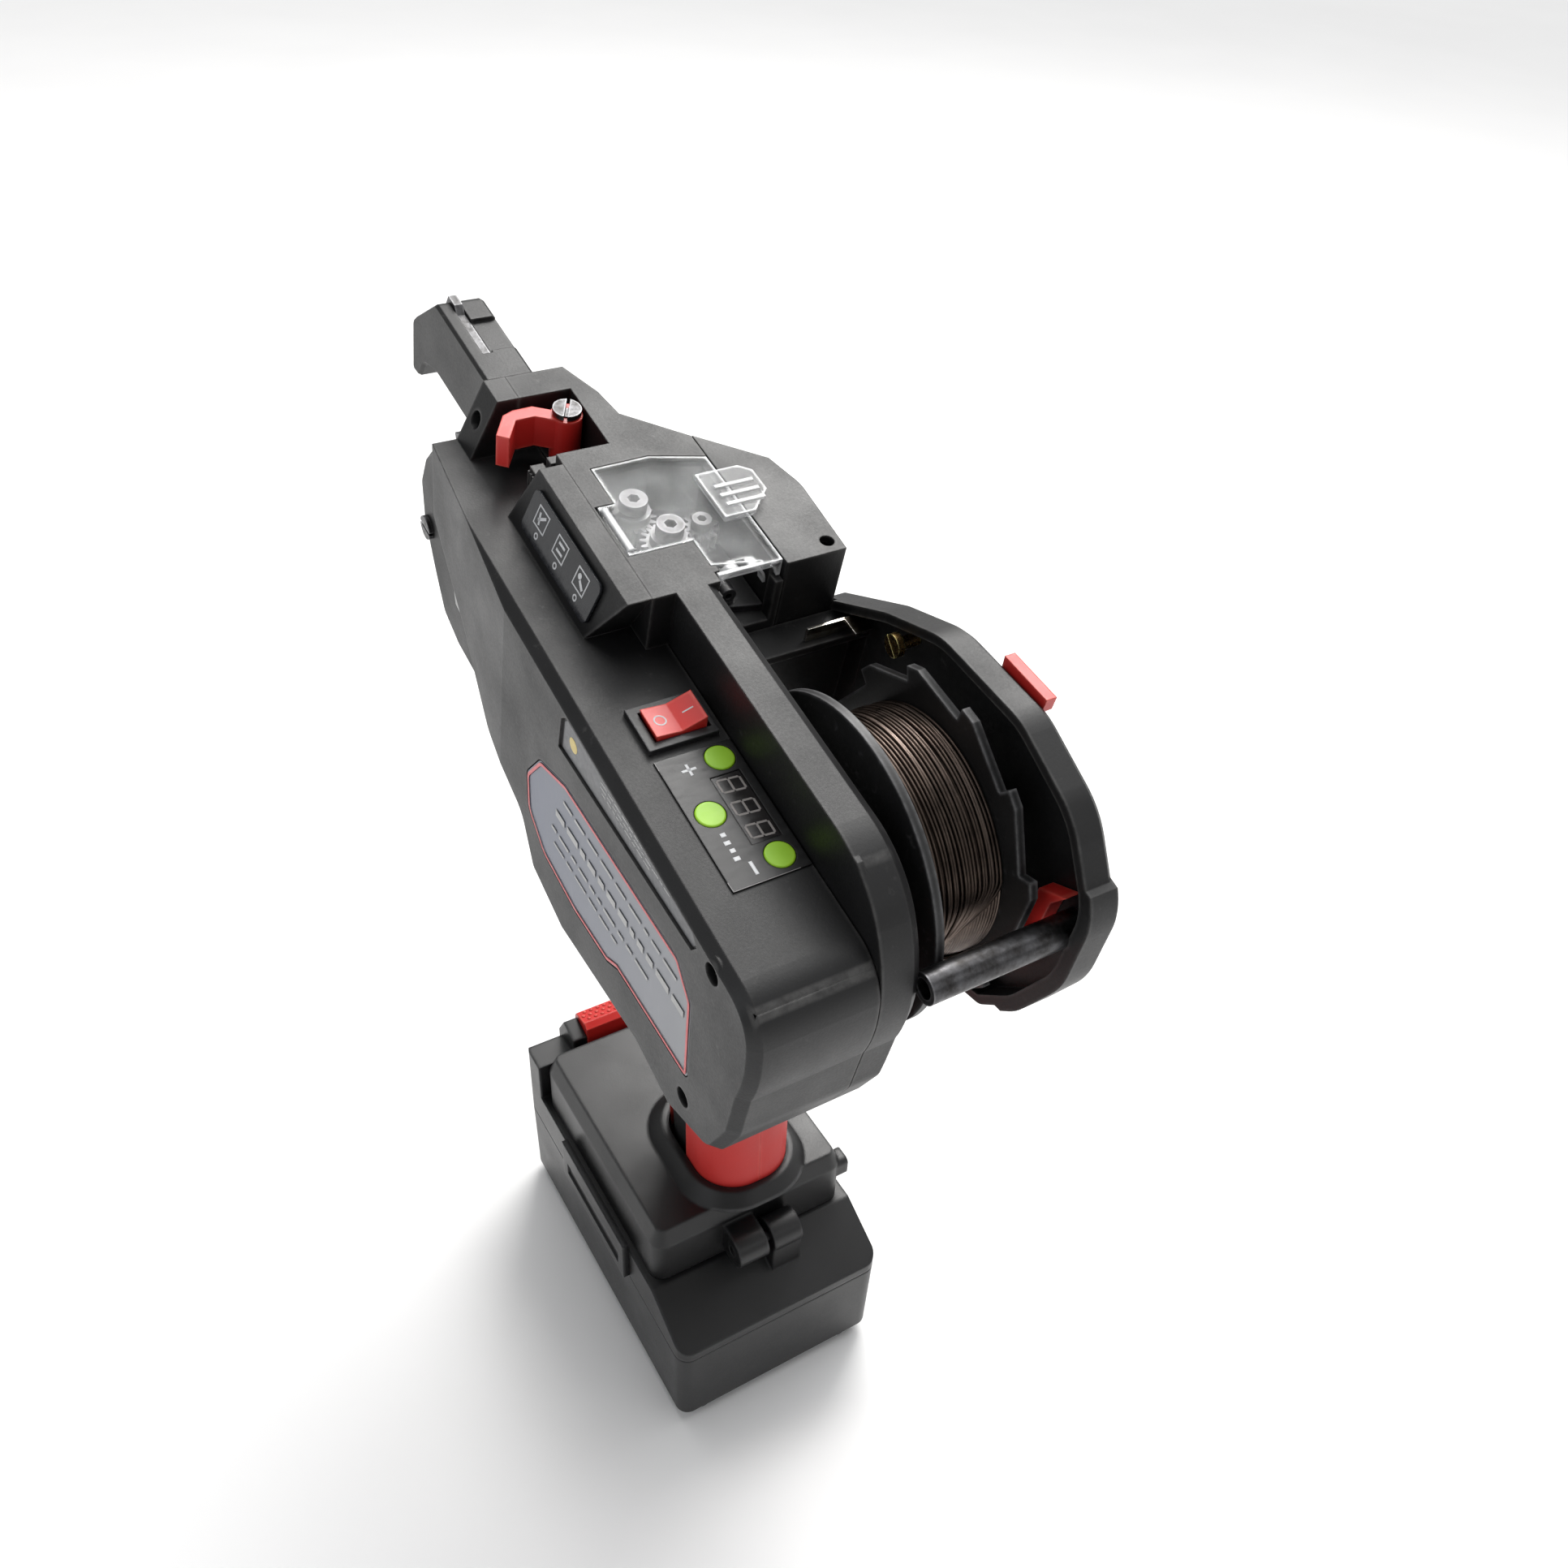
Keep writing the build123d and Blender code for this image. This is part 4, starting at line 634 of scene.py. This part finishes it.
plate = mirrored(NAMEPLATE)
prints("plate_border", [(inset(plate, 0.5), inset(plate, 1.5))], left_face, 39.1, 39.16, RED_INK, "root")
rng = random.Random(5)
rows = []
PLATE_ROWS = ((-12.0, 52, -10, 1.1), (-21.0, 56, -16, 2.6), (-29.5, 58, 0, 1.2), (-35.0, 56, 18, 0.9))
for height, start, stop, thick in PLATE_ROWS:
    at = start
    while at > stop:
        length = rng.uniform(2.5, 7.5)
        lift = (at - start) * -0.12
        rows.append(mirrored(bar(at, height + lift, at - length, height + lift + 0.12 * length, thick)))
        at -= length + 1.6
prints("plate_rows", rows, left_face, 39.1, 39.14, LABEL_PALE, "root")

STRIP = [(56.2, 6.3), (-17.2, 14.7), (-18.6, 17.4), (-16.2, 19.3), (54.0, 19.1), (56.0, 16.6)]
prints("strip_label", [mirrored(STRIP)], left_face, 38.28, 38.38, LABEL_GREY, "root")
prints("strip_dot", [mirrored(circle(50.2, 13.2, 2.3))], left_face, 38.38, 38.42, AMBER_INK, "root")
strip_rows = []
for height, start, stop in ((16.9, 34, -12), (15.2, 34, -4), (13.5, 33, 6)):
    at = start
    while at > stop:
        length = rng.uniform(1.4, 3.6)
        strip_rows.append(mirrored(bar(at, height + (34 - at) * 0.07,
                                       at - length, height + (34 - at + length) * 0.07, 0.55)))
        at -= length + 0.7
prints("strip_rows", strip_rows, left_face, 38.38, 38.41, LABEL_PALE, "root")

NOSE_LABEL = [(165.9, -27.0), (161.6, -42.0), (135.4, -46.2), (139.3, -34.1)]
prints("nose_label", [mirrored(NOSE_LABEL)], left_face, 27.0, 27.08, LABEL_PALE, "root")
prints("nose_label_dot", [mirrored(circle(158.6, -35.0, 2.6))], left_face, 27.08, 27.12,
       AMBER_INK, "root")

# ---------------------------------------------------------------- release button dots
def dome(centre, up, across, radius, height):
    """Shallow dome on a surface: its points and faces."""
    other = up.cross(across)
    points, faces = [], []
    rings = ((1.0, -0.1), (0.96, 0.35), (0.78, 0.7), (0.42, 0.94))
    steps = 14
    for share, level in rings:
        for i in range(steps):
            angle = 2 * math.pi * i / steps
            points.append(centre + (across * math.cos(angle) + other * math.sin(angle)) * radius * share * MM
                          + up * level * height * MM)
    points.append(centre + up * height * MM)
    for ring in range(len(rings) - 1):
        for i in range(steps):
            j = (i + 1) % steps
            faces.append((ring * steps + i, ring * steps + j, (ring + 1) * steps + j, (ring + 1) * steps + i))
    last = (len(rings) - 1) * steps
    for i in range(steps):
        faces.append((last + i, last + (i + 1) % steps, len(points) - 1))
    faces.append(tuple(range(steps - 1, -1, -1)))
    return points, faces


def domes(name, centres, up, across, radius, height, material, body):
    points, faces = [], []
    for centre in centres:
        more_points, more_faces = dome(centre, up, across, radius, height)
        start = len(points)
        points += more_points
        faces += [tuple(start + k for k in face) for face in more_faces]
    return piece(name, points, faces, material, body, smooth=True)


button_slope = math.atan2(80.5 - 79.0, 62.0 - 55.0)
button_up = Vector((math.sin(button_slope), 0, math.cos(button_slope)))
dots = []
for column in range(3):
    for row in range(-3, 4):
        x = 56.6 + column * 2.1
        y = row * 2.6 + (1.3 if column % 2 else 0.0) + 8.0
        dots.append(Vector((x, y, 80.5 - (x - 55.0) * math.tan(button_slope))) * MM)
domes("button_dots", dots, button_up, Vector((0, 1, 0)), 0.75, 0.4, MATERIALS["red_plastic"],
      "battery_button_body")


# ---------------------------------------------------------------- floor, light and camera
def flat(name, size, z, color):
    mesh = bpy.data.meshes.new(name)
    corners = [(-size, -size, z), (size, -size, z), (size, size, z), (-size, size, z)]
    mesh.from_pydata(corners, [], [(0, 1, 2, 3)])
    made = bpy.data.objects.new(name, mesh)
    bpy.context.scene.collection.objects.link(made)
    paper = Surface(name)
    tone = paper.noise(6.0, 2.0)
    mesh.materials.append(paper.finish(paper.mix(tone, color, rgb(0.86, 0.86, 0.86)), 0.9))
    return made


flat("floor", 6.0, 0.0, rgb(0.90, 0.90, 0.90))


def softbox(name, place, aim, size, watts, color=(1.0, 1.0, 1.0)):
    lamp = bpy.data.lights.new(name, "AREA")
    lamp.shape = "RECTANGLE"
    lamp.size, lamp.size_y = size
    lamp.energy = watts
    lamp.color = color
    made = bpy.data.objects.new(name, lamp)
    bpy.context.scene.collection.objects.link(made)
    made.location = place
    made.rotation_euler = (Vector(aim) - Vector(place)).to_track_quat("-Z", "Y").to_euler()
    return made


TARGET = (0.0, 0.0, 0.18)
softbox("window_light", (0.75, -0.75, 1.35), TARGET, (0.7, 0.7), 19.0, (1.0, 0.985, 0.96))
softbox("sky_light", (-0.3, 1.3, 1.1), TARGET, (1.2, 1.0), 4.0, (0.93, 0.96, 1.0))
softbox("back_light", (-1.3, -0.7, 1.0), TARGET, (1.0, 0.8), 2.5)
broad = bpy.data.lights.new("broad_light", "SUN")
broad.energy = 2.35
broad.angle = math.radians(70)
overhead = bpy.data.objects.new("broad_light", broad)
bpy.context.scene.collection.objects.link(overhead)
overhead.rotation_euler = (math.radians(22), math.radians(18), 0)

world = bpy.data.worlds.new("studio")
bpy.context.scene.world = world
world.use_nodes = True
world.node_tree.nodes["Background"].inputs["Color"].default_value = (1.0, 1.0, 1.0, 1.0)
world.node_tree.nodes["Background"].inputs["Strength"].default_value = 0.27

lens = bpy.data.cameras.new("camera")
lens.sensor_width = 36.0
lens.lens = 33.26
lens.clip_start = 0.01
camera = bpy.data.objects.new("camera", lens)
bpy.context.scene.collection.objects.link(camera)
view_right = Vector((-0.50942, -0.85934, 0.04499))
view_down = Vector((-0.55489, 0.28808, -0.78046))
view_ahead = Vector((0.65772, -0.42254, -0.62359))
camera.matrix_world = (Matrix.Translation(Vector((-0.2763, 0.1520, 0.4755)))
                       @ Matrix((view_right, -view_down, -view_ahead)).transposed().to_4x4())
bpy.context.scene.camera = camera
bpy.context.scene.view_settings.view_transform = "Standard"
